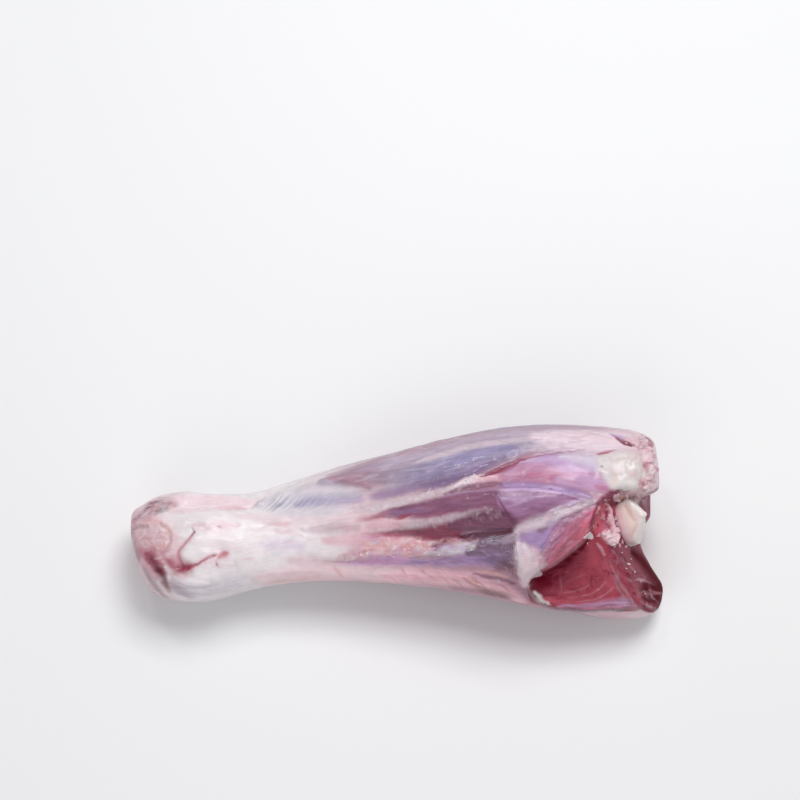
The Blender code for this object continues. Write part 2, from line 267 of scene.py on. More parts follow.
KNUCKLE = {
    "cap": Stroke("fat_pink", ((138, 530, 5), (150, 536, 8), (163, 544, 6.5)), 0.65, 1.02, soft=0.5,
        ragged=1, grainy=0.3),
    "upper_lump": Stroke("fat_pink", ((134, 521, 1.4), (140, 518.5, 2.6), (147, 520, 2.4)), 0.75, 0.85,
        soft=0.5, relief=0.7),
    "cap_lump": Stroke("tendon_pink", ((142, 536, 4.4), (150, 538, 6), (158, 541, 5)), 0.75, 0.82, soft=0.5,
        relief=0.9, grainy=0.45),
    "cap_edge": Stroke("film", ((131, 526, 0.8), (133, 540, 1.6), (138, 556, 1.8)), 0.7, 0.65),
    "lump_valley": Stroke("film", ((133, 529, 0.3), (139, 527, 0.8), (147, 527, 0.6)), 0.5, 0.8, soft=0.9,
        relief=-0.5),
    "beige_rim": Stroke("fat_orange", ((145, 524, 0.8), (155, 521, 1.2), (165, 525, 1.3), (170.5, 533, 1.3),
        (171, 541, 1)), 0.35, soft=0.9),
    "torn_top": Stroke("meat_brown", ((138, 517, 1.2), (150, 509, 2.2), (163, 503, 2.4), (176, 504, 1.2)),
        0.65, streaks=0.6, grainy=0.3),
    "beside_crease": Stroke("tendon_pink", ((175, 538, 2.2), (173, 550, 2.8), (174, 559, 2.2)), 0.7, 0.98,
        soft=0.5, relief=0.3),
    "cap_crease": Stroke("crease", ((160, 522, 0.4), (168, 528.5, 0.5), (171.5, 536, 0.6), (170, 543, 0.6),
        (167, 549, 0.7), (164, 558, 0.9)), 0.4, 1.9, relief=-0.5, ragged=0.9),
    "cap_flush": Stroke("cut_rose", ((136, 550, 2), (146, 549, 4), (157, 549, 3.4), (164, 552, 2)), 0.35,
        1.15, ragged=1),
    "blot_halo": Stroke("cut_rose", ((142, 551, 1.6), (151, 556, 3), (162, 563, 2.4)), 0.45, 0.9, ragged=1),
    "red_blot": Stroke("blood", ((147, 555, 1), (151, 560, 2.4), (157, 566, 2.4), (162, 572, 1.4)),
        tone=0.75, ragged=1),
    "blot_core": Stroke("meat_plum", ((150, 558, 0.5), (154, 563, 1.1), (159, 569, 0.8)), 0.6, 1.05,
        relief=-0.4, ragged=1),
    "pink_ridge": Stroke("fat_pink", ((144, 564, 0.7), (149, 570, 1.6), (155, 577, 1.4)), 0.8, 0.92,
        soft=0.5, relief=0.6),
    # Painted shade in the fold under the knuckle.
    "fold_shade": Stroke("cut_blood_and_shade", ((155, 564, 0.7), (159, 572, 1.3), (163, 581, 1.3), (168, 590, 0.9),
        (173, 597, 0.5)), 0.78, 0.95, relief=-0.5, ragged=1.2, fade=(3, 12)),
    "low_lip": Stroke("film", ((144, 568, 0.8), (150, 579, 1.6), (158, 590, 1.8), (166, 598, 1.4)), 0.7,
        0.7, soft=0.9, streaks=0.3),
    "heel_bulge": Stroke("tendon_white", ((192, 553, 3.6), (202, 549, 6), (214, 548, 6.6), (230, 549, 5)),
        0.75, soft=0.55, relief=0.9),
    "white_ridge": Stroke("tendon_white", ((165, 566.5, 0.6), (172, 573, 1.2), (181, 579, 1.6),
        (192, 583, 1.4), (208, 584, 0.8)), soft=0.5, relief=0.7),
    "red_patch": Stroke("blood", ((168, 558, 0.9), (173, 564, 2.4), (180, 568, 3), (188, 568.5, 2)),
        tone=0.9, soft=0.9, ragged=1),
    "patch_core": Stroke("meat_red", ((178, 567, 0.8), (183, 568.5, 1.2), (188, 568.5, 0.6)), 0.75,
        soft=0.9, relief=-0.7),
    "heel_line": Stroke("blood", ((194.5, 532, 0.3), (191, 537, 0.35), (184, 545, 0.4), (179.2, 551, 0.5),
        (178.7, 558, 0.6), (181, 567, 1)), tone=0.97, soft=0.55, relief=-0.8, ragged=0.3),
    "heel_line_glow": Stroke("fat_pink", ((192, 538, 0.8), (181, 549, 1.4), (178, 560, 2)), 0.5, 1.05),
    "heel_slit": Stroke("crease", ((191.2, 527.5, 0.2), (193.3, 530, 0.45), (195.2, 532.6, 0.2)), 0.45, 2.0,
        soft=0.5, relief=-0.3),
    "branch_glow": Stroke("fat_pink", ((192, 567, 1.2), (206, 560, 1.6), (218, 556, 2.2), (227, 555, 1.4)),
        0.45, 1.08),
    "heel_branch": Stroke("blood", ((186, 569, 0.9), (198, 564, 0.45), (208, 558, 0.45),
        (214.5, 555.3, 0.5)), soft=0.55, relief=-0.6, ragged=0.3),
    "red_dot": Stroke("cut_warm", ((218, 557.5, 0.7), (223, 555, 1.2), (227, 553.2, 0.7)), 0.8, 1.15,
        soft=0.8),
    "branch_tick": Stroke("blood", ((215.7, 561, 0.25), (217.2, 564, 0.45), (219, 567, 0.25)), 0.8, 1.05,
        soft=0.5, relief=-0.3),
    "smear": Stroke("fat_pink", ((189, 526.5, 0.6), (204, 525.5, 1.6), (219, 527, 2.2), (237, 526, 1.2)),
        0.6, 1.02, ragged=0.9, grainy=0.5),
    "smear_dot": Stroke("blood", ((218.5, 527.2, 0.45), (221, 527.8, 0.4)), 0.75, 0.95, soft=0.7),
    "heel_sheen": Stroke("skin_white", ((178, 589, 2.4), (195, 590, 4), (213, 590, 4.4), (228, 586, 3.4),
        (244, 580, 2)), 0.6, 1.14, streaks=0.2),
    # Painted shade under the white ridge.
    "shade_under_ridge": Stroke("skin_dusk", ((167, 577, 0.8), (174, 586, 1.8), (185, 594, 2.2), (198, 599, 1.6)),
        0.5, 1.5, streaks=0.3, fade=(3, 6)),
}

FAN = {
    "fan_base": Stroke("skin_white", ((256, 506, 1.2), (275, 500, 3.2), (300, 493.5, 4.6), (322, 488, 4.6),
        (342, 488, 3.6), (358, 492, 2)), 0.95, 1.02, soft=0.5),
    "fan_white": Stroke("tendon_white", ((264, 507, 0.8), (274, 500, 2), (286, 494, 2)), 0.6, soft=0.8),
    "fan_edge": Stroke("crease", ((251, 509, 0.2), (257, 504, 0.35), (265, 497, 0.25)), 0.45, 1.9, soft=0.9,
        relief=-0.3),
    "fan_blue": Stroke("skin_blue", ((296, 506, 1), (314, 503, 2.6), (338, 501, 2.4), (360, 499.5, 1.6)),
        0.6, 1.13, soft=0.9, streaks=0.15),
    "fan_cream": Stroke("fat_cream", ((300, 488, 1.4), (320, 482, 2.6), (336, 484, 2)), 0.5, soft=0.9),
    "light_ridge": Stroke("skin_white", ((342, 492, 0.8), (366, 490.5, 0.9), (385, 488.5, 0.9),
        (400, 486.5, 0.6)), 0.7, 0.92, soft=0.7, relief=0.35),
}

# The slate stripes of the fan, each from its low end to its high end, and those that fill in between.
FAN_STRIPES = ((260, 510, 278, 491), (273, 511, 290, 496), (297, 511, 312, 496), (320, 509, 334, 498))
STRIPES_BETWEEN = 3
STRIPE_HALF_WIDTH = 0.42

CALF = {
    "calf": Stroke("skin_grey", ((322, 482, 2), (345, 477, 4), (380, 468, 6), (420, 459, 7.6),
        (460, 449, 7.8), (500, 441, 6.6), (540, 437, 6), (580, 439, 5.4), (615, 442, 4.6)), 0.95, 1.27,
        soft=0.5, relief=0.3, streaks=0.1),
    "calf_edge": Stroke("meat_brown", ((328, 475, 0.8), (345, 469, 2.4), (364, 463.5, 3), (386, 457, 1.8)),
        0.65, 1.02, soft=0.9, streaks=0.2),
    "calf_warm_top": Stroke("meat_brown", ((392, 456, 1.2), (424, 447, 2.4), (460, 437, 2.6),
        (490, 431, 1.6)), 0.8, 1.02, fade=(4, 10)),
    "wedge": Stroke("meat_brown", ((326, 478, 0.4), (340, 478, 2), (354, 478.6, 3.8), (368, 480.4, 4.4),
        (384, 480, 2.6)), 0.8, 1.02, soft=0.75, streaks=0.25),
    "wedge_low": Stroke("meat_brown", ((340, 480.4, 0.3), (354, 484, 0.9), (370, 488, 0.7)), 0.7, 0.86,
        soft=0.8, streaks=0.2),
    "blue_shadow": Stroke("skin_grey", ((374, 479, 2), (392, 477, 4), (410, 474, 4.2)), 0.7, 0.94, soft=0.7,
        streaks=0.15),
    "spindle": Stroke("skin_violet", ((362, 499.5, 0.5), (374, 497, 1.5), (387, 494.5, 2),
        (400, 491.5, 1.8), (412, 488.5, 1.4), (426, 484, 1)), 0.75, 1.05, soft=0.8, streaks=0.2,
        fade=(6, 6)),
    "calf_blue": Stroke("skin_blue", ((376, 486, 1), (396, 481, 2.6), (416, 477, 4), (440, 471, 4.8),
        (460, 465, 4.6), (480, 459, 4.2), (500, 453.5, 3.6), (518, 449, 2.8), (540, 443, 1.4)), 0.92, 0.91,
        soft=0.7, streaks=0.14, fade=(22, 12)),
    "blue_deep": Stroke("skin_violet", ((408, 489, 0.6), (424, 485.5, 1.6), (440, 482, 2.2),
        (456, 477, 2.2), (472, 470.5, 1.6), (490, 463, 1.1), (508, 457, 0.8), (524, 451, 0.5)), 0.9, 0.82,
        soft=0.9, streaks=0.2, fade=(8, 8)),
    "blue_light": Stroke("skin_blue", ((436, 463, 1.2), (460, 456, 1.6), (486, 450, 1.4), (508, 446, 1)),
        0.5, 1.12, soft=0.9),
    "cream_line": Stroke("fat_cream", ((418, 462, 0.7), (440, 455.5, 1.4), (458, 450, 1.7), (478, 446, 1.6),
        (500, 443, 1.5), (524, 440.5, 1.8)), 0.7, 0.97, soft=0.7),
    "calf_end": Stroke("fat_cream", ((536, 437, 2.6), (556, 438, 4.6), (580, 439, 6), (604, 441, 6.2),
        (622, 441, 5)), tone=1.26, soft=0.8, streaks=0.06),
    "end_pink": Stroke("tendon_pink", ((572, 434, 2), (592, 436, 3), (612, 440, 3)), 0.5, 1.03, soft=0.9),
    "top_grey": Stroke("skin_grey", ((500, 430, 1), (530, 427, 1.4), (566, 427, 1.4), (600, 429, 1)), 0.5,
        1.1, soft=0.9),
    "arc_hair": Stroke("skin_white", ((516.5, 457, 0.2), (517.5, 452, 0.3), (521, 448, 0.3),
        (529, 445.5, 0.2)), 0.6, soft=0.8),
    "arc_hair_far": Stroke("skin_white", ((534, 455, 0.15), (541, 451, 0.25), (549, 449, 0.15)), 0.5,
        soft=0.8),
}

SEAM_BAND = {
    "band_start": Stroke("skin_white", ((262, 514, 0.8), (290, 513, 1.8), (320, 511.5, 2.2), (350, 510, 2)),
        0.7, 1.02, soft=0.5, relief=0.2, fade=(8, 6)),
    "band": Stroke("fat_cream", ((346, 511.5, 1.6), (366, 509, 1.9), (385, 505.5, 2.1), (400, 502, 1.9),
        (414, 499, 1.5), (430, 495.4, 1.5), (445, 491, 1.5), (458, 486.5, 1.8), (470, 482, 2.2),
        (482, 479.5, 1.6), (494, 477, 0.8)), 0.88, 0.86, soft=0.6, relief=0.5, grainy=0.15, fade=(10, 0)),
    "band_bright": Stroke("fat_cream", ((454, 487.6, 1), (468, 482.6, 1.8), (480, 479.6, 1.8),
        (490, 477.6, 1.1)), 0.9, 1.22, soft=0.7, relief=0.3),
    "band_dashes": Stroke("skin_violet", ((424, 491.6, 0.3), (433, 490, 0.4), (442, 487.4, 0.35),
        (450, 484.6, 0.3)), 0.65, 1.05, soft=0.5, grainy=0.6),
    "under_red": Stroke("fat_pink", ((478, 481.6, 1.2), (490, 478.6, 1.8), (500, 475.6, 1.6),
        (508, 472.5, 1)), 0.8, 1.08, soft=0.9),
    "red_line": Stroke("meat_red", ((481, 476.8, 0.3), (490, 473, 0.9), (499, 469.5, 1.3),
        (507.5, 466.6, 1.6), (514.5, 463, 1.0), (522, 459.6, 0.5), (537, 456, 0.32), (560, 452, 0.3),
        (584, 449.5, 0.2)), tone=1.1, soft=0.5, relief=-0.8),
}

PINK_MUSCLE = {
    "pink_meat": Stroke("meat_pink", ((497, 480.5, 1), (508, 475, 2.8), (525, 471, 4.6), (545, 470, 5.6),
        (565, 472, 6), (585, 476, 5), (600, 482, 3.4), (612, 488, 1.6)), 0.93, 0.85, soft=0.6, relief=0.5,
        streaks=0.12, fade=(5, 0)),
    "redder": Stroke("cut_rose", ((514, 477, 1), (530, 475.5, 2), (548, 475, 2), (566, 474, 0.8)), 0.4,
        1.05),
    "violet_top": Stroke("skin_lilac", ((526, 461.5, 1), (545, 460, 2.6), (565, 461, 4), (585, 464, 4.2),
        (604, 468, 3.4)), tone=1.06, soft=0.9),
    "pale_top": Stroke("skin_white", ((562, 457, 1.4), (582, 459, 3), (600, 463, 3.6), (608, 470, 2.4)),
        0.75, 1.1, streaks=0.1),
    "low_lilac": Stroke("skin_lilac", ((560, 481.5, 1.4), (580, 482.5, 2.6), (598, 485, 2.6),
        (612, 488, 1.4)), 0.5, 1.12, soft=0.9),
    "dark_pink": Stroke("cut_rose", ((595, 487, 0.6), (604, 488.5, 1.4), (612, 489, 1)), 0.5, 1.1,
        soft=0.9),
    "violet_strip": Stroke("skin_violet", ((500, 485, 0.9), (515, 485.6, 1.3), (535, 486.2, 1.4),
        (555, 488.5, 1.4), (575, 492.5, 1.3), (592, 497.5, 0.6)), tone=1.5, soft=0.35, relief=-0.3),
    "cream_side": Stroke("fat_cream", ((596, 457, 1.2), (604, 466, 2), (607, 477, 2)), 0.5, 1.05, soft=0.9),
    "upper_line": Stroke("skin_lilac", ((437, 499, 0.2), (458, 494, 0.35), (475, 491.8, 0.5),
        (491, 490.8, 0.6), (505, 490.5, 0.7), (520, 489.8, 0.7), (536, 490, 0.8), (550, 491.5, 0.7),
        (562, 493.5, 0.65), (575, 497, 0.6), (590, 501.4, 0.5)), tone=1.05, soft=0.4, relief=0.4,
        ragged=0.25),
}

# Small dark specks where fine vessels come through: x, y and half width in mm.
SPECKS = (
    (530.6, 487.6, 0.35), (534.5, 492.8, 0.4), (537.5, 493, 0.35), (550.6, 488.8, 0.4), (562, 495, 0.35),
    (582.5, 503, 0.4), (569.7, 507.4, 0.4), (558.3, 514.4, 0.35), (601, 467, 0.4), (466, 482.5, 0.3),
)

SHIN_MUSCLE = {
    "dark_upper": Stroke("meat_mauve", ((358, 520.8, 0.3), (375, 516.8, 1.1), (390, 513.3, 1.8),
        (405, 510.8, 2.2), (420, 509.5, 2.8), (435, 507, 3.4), (450, 505, 3.8), (465, 502.5, 4.1),
        (480, 500.5, 4.2), (494, 499.5, 4)), 0.95, soft=0.35, relief=0.25, streaks=0.14, fade=(16, 0)),
    "upper_sliver": Stroke("meat_mauve", ((444, 494, 0.3), (456, 490.4, 0.8), (468, 487.4, 1),
        (480, 485.6, 1.1), (492, 484.2, 1.1), (500, 484.6, 0.6)), tone=1.06, soft=0.4, relief=-0.4),
    "tip_pink": Stroke("cut_rose", ((350, 522.5, 0.5), (362, 520, 1), (378, 516.6, 1.2), (394, 513.6, 0.8)),
        0.6, 0.95, fade=(8, 4)),
    "low_red": Stroke("meat_red", ((404, 517, 0.5), (422, 516.4, 1.1), (440, 514.4, 1.1), (458, 512, 0.7)),
        0.5, 1.05, fade=(4, 6)),
    "red_slit": Stroke("blood", ((393.5, 520, 0.25), (401, 517.6, 0.8), (409, 514.6, 0.5)), tone=0.95,
        soft=0.5, relief=-0.6),
    "dark_right": Stroke("meat_violet", ((503, 502.5, 2.4), (511, 508.5, 4.4), (521, 511, 5.2),
        (535, 507, 4.6), (548, 504, 3.8), (562, 501.5, 2.6), (575, 500.6, 1.4), (584, 501, 0.4)), 0.92,
        soft=0.22, relief=0.35, ragged=0.2, streaks=0.06),
    "right_low": Stroke("meat_mauve", ((517, 519.5, 1.6), (528, 516, 2.4), (541, 512, 2.2), (554, 508, 1.6),
        (565, 505, 0.8)), 0.7, 1.1, soft=0.8),
    "right_lilac": Stroke("skin_lilac", ((499, 496.5, 1.0), (509, 497, 1.8), (523, 496, 1.7),
        (540, 495.5, 1.2)), 0.5, 0.88, soft=0.8),
    "right_line": Stroke("skin_lilac", ((503, 509, 0.15), (511, 505.5, 0.3), (520, 502, 0.3),
        (531, 498.6, 0.2)), 0.5, 0.95, soft=0.8),
    "e_fat": Stroke("fat_pink", ((356, 532.5, 0.7), (367, 529.5, 1.4), (377, 526.5, 2), (387, 523.6, 2.3),
        (398, 524.4, 1.7), (414, 523.6, 1)), tone=1.06, soft=0.7, relief=0.5, grainy=0.3, fade=(6, 4)),
    "e_line": Stroke("fat_cream", ((396, 525, 1), (412, 523.8, 1.3), (430, 521.5, 1.3), (446, 519, 1.3),
        (460, 515.6, 1.1), (474, 512, 0.8), (488, 509.5, 0.6), (500, 507.5, 0.3)), 0.75, 0.7, soft=0.8,
        relief=0.45, grainy=0.3, fade=(4, 10)),
    "red_wedge": Stroke("meat_red", ((366, 533.6, 0.3), (380, 534.6, 0.9), (395, 535, 1.5),
        (410, 534.6, 2.1), (425, 533.6, 2.6), (440, 532.4, 3), (455, 531, 3.2), (468, 529.5, 3)), 0.93,
        0.72, soft=0.45, relief=-0.3, ragged=0.6, streaks=0.22, fade=(7, 4)),
    "f_tip": Stroke("cut_rose", ((362, 533.6, 0.3), (376, 534.6, 0.8), (392, 536, 0.9), (408, 536.6, 0.5)),
        0.6, 0.95, soft=0.9),
    "f_violet": Stroke("meat_plum", ((452, 526, 1.4), (466, 524.5, 3), (482, 521.8, 4.2), (498, 520.8, 4.6),
        (508, 523, 3.6), (514, 527.5, 1.6)), 0.9, 1.14, soft=0.4, ragged=0.25, streaks=0.14),
    "f_dark": Stroke("crease", ((462, 538, 0.6), (476, 537, 1.3), (490, 535, 1.6), (504, 532.6, 1.4),
        (515, 529.6, 0.6)), tone=0.92, soft=0.6, relief=-0.8),
    "f_line": Stroke("skin_lilac", ((458, 535.4, 0.12), (480, 532.2, 0.2), (506, 529.4, 0.12)), 0.45, 0.8,
        soft=0.7),
    "skin_edge": Stroke("meat_plum", ((495.6, 493.6, 0.15), (502, 504.5, 0.3), (509, 516.5, 0.35),
        (516, 529, 0.3)), 0.75, soft=0.35, relief=-0.1, ragged=0.08),
    "gap": Stroke("meat_red", ((431, 546.5, 0.3), (443, 543, 0.9), (457, 540, 1.4), (471, 537.6, 1.2)),
        tone=0.82, soft=0.5, relief=-1.0, ragged=0.8),
    "gap_bits": Stroke("fat_orange", ((434, 542, 0.7), (447, 539.6, 0.9), (460, 542.6, 0.9)), 0.4, soft=0.5,
        relief=0.1, grainy=0.8),
}

FRONT = {
    "front_pink": Stroke("fat_pink", ((324, 541, 1.4), (345, 541, 2.4), (366, 540, 2.8), (388, 541, 2.6),
        (408, 541.6, 1.6)), 0.7, 1.08, soft=0.7),
    "front_mauve": Stroke("meat_pink", ((362, 537, 0.7), (385, 538.6, 1), (406, 540, 0.8)), 0.5, 1.05,
        soft=0.8),
    "front_fat": Stroke("fat_pink", ((332, 560.6, 0.5), (348, 556, 1.8), (366, 551.6, 3.2), (386, 548, 4),
        (408, 546, 3.6), (426, 546, 2.4), (438, 547.6, 1)), tone=0.94, soft=0.7, relief=0.35, streaks=0.16,
        grainy=0.15, fade=(10, 4)),
    "front_orange": Stroke("fat_orange", ((362, 549, 1), (384, 545, 2), (402, 543.6, 1.8),
        (418, 543.4, 1.4), (430, 545, 0.8)), 0.5, 1.08, grainy=0.4),
    "front_blush": Stroke("cut_rose", ((398, 549, 1), (414, 548, 2), (430, 548.6, 1.2)), 0.45, 1.1),
    "front_red": Stroke("blood", ((340, 556, 0.3), (356, 553.4, 0.5), (374, 549.6, 0.4)), 0.4, 1.2,
        soft=0.9, grainy=0.4),
    "violet_low": Stroke("skin_violet", ((326, 562.6, 0.3), (342, 563.2, 0.8), (358, 563, 1.3),
        (374, 561.6, 2), (390, 560.6, 2.4), (406, 561.8, 2), (426, 562.6, 1.7), (446, 562, 1.9),
        (462, 560.6, 2.4), (476, 559.6, 3), (490, 560, 3.4)), tone=1.62, soft=0.55, relief=-0.25,
        streaks=0.16, grainy=0.15, fade=(18, 0)),
    "pink_low": Stroke("meat_pink", ((334, 562.6, 0.4), (352, 562, 1.2), (370, 561, 1.8), (390, 560, 2),
        (408, 560, 1.2)), 0.62, 1.4),
    "purple": Stroke("meat_violet", ((360, 561, 0.9), (374, 560.5, 1.4), (388, 559, 1.5),
        (398, 558.6, 0.8)), 0.35, grainy=0.5, fade=(3, 4)),
    "white_sheen": Stroke("skin_white", ((424, 553, 0.6), (438, 550.4, 1.9), (452, 549.6, 2.4),
        (466, 547.6, 2.2), (476, 545.6, 0.9)), tone=0.93, soft=0.6, relief=0.3, grainy=0.35),
    # The grey-violet at the lower right is dark silverskin with painted shade where the leg turns from the
    # light.
    "dusk": Stroke("skin_dusk", ((470, 553, 1.6), (480, 549, 3.2), (491, 550, 4.8), (503, 553, 5.6),
        (512, 557, 4.6)), 0.92, soft=0.45, streaks=0.12),
    "dusk_violet": Stroke("skin_violet", ((478, 561, 1.4), (490, 557.6, 2.6), (502, 556, 2)), 0.55, 0.98,
        soft=0.9),
    "fuzz": Stroke("skin_grey", ((482, 542, 0.5), (492, 540.6, 1.5), (503, 540, 1.8), (512, 537.6, 1.6),
        (518, 536, 0.8)), 0.75, 1.02, soft=0.5, relief=0.4, grainy=0.8),
    "dusk_brown": Stroke("crease", ((498, 568, 1.4), (508, 566, 2.4), (516, 572, 2.8)), 0.5, 1.45),
    "shin_edge": Stroke("tendon_pink", ((262, 577, 3), (285, 573.5, 3), (310, 572, 3.2), (335, 572.6, 3.3),
        (360, 573.4, 3.2), (385, 575, 3.3), (410, 577, 3.4)), 0.8, 1.16, soft=0.8, relief=0.4),
    "shin_pink": Stroke("fat_pink", ((384, 576, 1.6), (404, 577, 3.2), (426, 577.6, 4), (450, 579.6, 4.2),
        (470, 583, 4.2), (488, 587.6, 4.2), (505, 593, 4.2), (520, 600, 3)), tone=1.3, soft=0.7, relief=0.3,
        streaks=0.12),
    # Painted shade along the shin's lower edge.
    "shin_underside_shade": Stroke("crease", ((462, 587, 1.2), (478, 589, 2.2), (494, 593, 3), (508, 597, 3),
        (518, 600, 2.4)), 0.72, 0.9, fade=(10, 6)),
    "orange_one": Stroke("meat_red", ((464, 578, 0.4), (471, 582, 0.9), (479, 586, 0.5)), 0.6, 1.1,
        soft=0.8),
    "orange_rim": Stroke("fat_orange", ((468, 576.6, 0.3), (476, 580.6, 0.6), (485, 584, 0.3)), 0.6,
        soft=0.8),
    "red_streak": Stroke("meat_plum", ((474, 573, 0.3), (490, 575.6, 0.7), (503, 579, 0.9),
        (515, 584, 0.6)), 0.6, soft=0.9, ragged=1),
    "orange_two": Stroke("fat_orange", ((476, 571, 0.4), (492, 572.6, 0.7), (507, 576.4, 0.5)), 0.6,
        soft=0.8, grainy=0.4),
    "peach_streak": Stroke("fat_orange", ((334, 567, 0.3), (339, 572, 0.7), (344, 578, 0.3)), 0.7, 1.12,
        soft=0.8),
}

# Slanting streaks over the shin's edge: where the first starts, the step to the next, and each one's run.
EDGE_STREAKS = 11
EDGE_STREAK_START = (421, 570)
EDGE_STREAK_STEP = (8.6, 1.5)
EDGE_STREAK_RUN = (15, 12)

SHEET = {
    "sheet_skin": Stroke("skin_lilac", ((529, 551, 1.8), (541, 539, 3.8), (552, 530, 4.4), (564, 520, 4.2),
        (578, 511, 3.2), (590, 503.6, 1.8), (602, 498.6, 0.8)), 0.93, 0.84, soft=0.7, streaks=0.3),
    "sheet_violet": Stroke("skin_violet", ((538, 534, 1.4), (552, 526, 2.2), (568, 516, 1.9),
        (582, 508, 1.1)), 0.6, 1.3),
    "sheet_rose": Stroke("cut_rose", ((549, 560, 1.4), (554, 551, 3), (561, 542, 4.6), (570, 531, 5),
        (580, 520, 4), (589, 510, 2.6), (599, 502.6, 1.2)), 0.8, 0.9, soft=0.9, ragged=0.3, streaks=0.5),
    "sheet_red": Stroke("cut_warm", ((543, 571, 1), (550, 566, 1.8), (560, 559, 2.6), (570, 551, 3),
        (579, 542, 3.2), (587, 530, 3), (593, 518, 2.4), (598, 508, 1.7), (605, 501.6, 1)), 0.65, 1.55,
        soft=0.7, ragged=0.3, streaks=0.35),
    # A painted highlight along the rim of the sheet.
    "sheet_rim_highlight": Stroke("fat_pink", ((535, 575, 0.2), (550, 568, 0.35), (562.5, 560, 0.4),
        (573, 551.6, 0.4), (582, 542, 0.35), (588.6, 530, 0.35), (594, 517, 0.3), (600, 506, 0.25)), 0.45,
        0.95, soft=0.8, relief=0.25),
    "fascia_band": Stroke("fat_cream", ((516, 531, 1.2), (525, 527.6, 2.4), (535, 524.6, 2.8),
        (546, 519.6, 2.3), (558, 514.6, 2), (570, 509.6, 1.8), (582, 504.6, 1.5), (592, 500.6, 1.2),
        (602, 497.6, 1), (614, 494.6, 0.8), (624, 492, 0.6)), 0.88, 0.72, soft=0.6, relief=0.3, ragged=0.7),
    "fascia_light": Stroke("fat_cream", ((518, 530.4, 0.8), (527, 527, 1.6), (537, 523.4, 1.4),
        (547, 519, 0.8)), 0.7, 1.08),
    "tab_violet": Stroke("skin_violet", ((521, 540, 1.4), (530, 539.5, 3), (538, 539, 3.4),
        (546, 533.6, 1.8)), tone=1.5, soft=0.9, ragged=0.6),
    "tab": Stroke("tendon_pink", ((519, 545, 0.9), (523, 553, 2.8), (528.4, 562, 4.9), (530, 571, 4.9),
        (529, 580, 3.4)), 0.92, 1.08, soft=0.45, relief=0.3, ragged=0.9),
    "tab_shade": Stroke("fat_pink", ((534, 548, 0.8), (537, 558, 1.4), (536, 568, 1.4)), 0.5),
    "tab_light": Stroke("tendon_white", ((518, 536, 0.8), (518.4, 546, 1.1), (520, 558, 1.6), (523, 568, 2),
        (526, 576, 1.6)), 0.35, 0.95, relief=0.1),
    "tab_line": Stroke("skin_violet", ((530, 546, 0.4), (533, 556, 0.6), (532, 567, 0.4)), 0.4, 1.3),
    "smudge": Stroke("crease", ((536.5, 531.4, 0.3), (541, 529.2, 0.8), (547, 527.4, 0.5)), 0.6, 1.6,
        soft=0.8, ragged=0.8),
    "end_rim": Stroke("fat_pink", ((596, 499.6, 0.6), (604, 496.6, 1), (613, 494.6, 1.1), (624, 493, 0.8)),
        tone=1.1, soft=0.7, relief=0.35),
}

# The steep side of the sheet, which faces the cut, painted dark as shade along most of it and bright cut red
# at its upper end.
WALL = {
    "wall": Stroke("cut_blood_and_shade", ((530, 581, 1.4), (541, 575.6, 2), (553, 570, 2), (565, 562, 2),
        (576, 552.6, 1.8), (584, 544, 1.4), (588, 538, 0.9)), 1.0, 0.8, soft=0.4),
    "wall_high": Stroke("cut_bright", ((590, 533, 0.8), (595, 522, 1), (600, 511, 1), (606, 503, 0.8)), 0.9,
        1.05, soft=0.5),
}

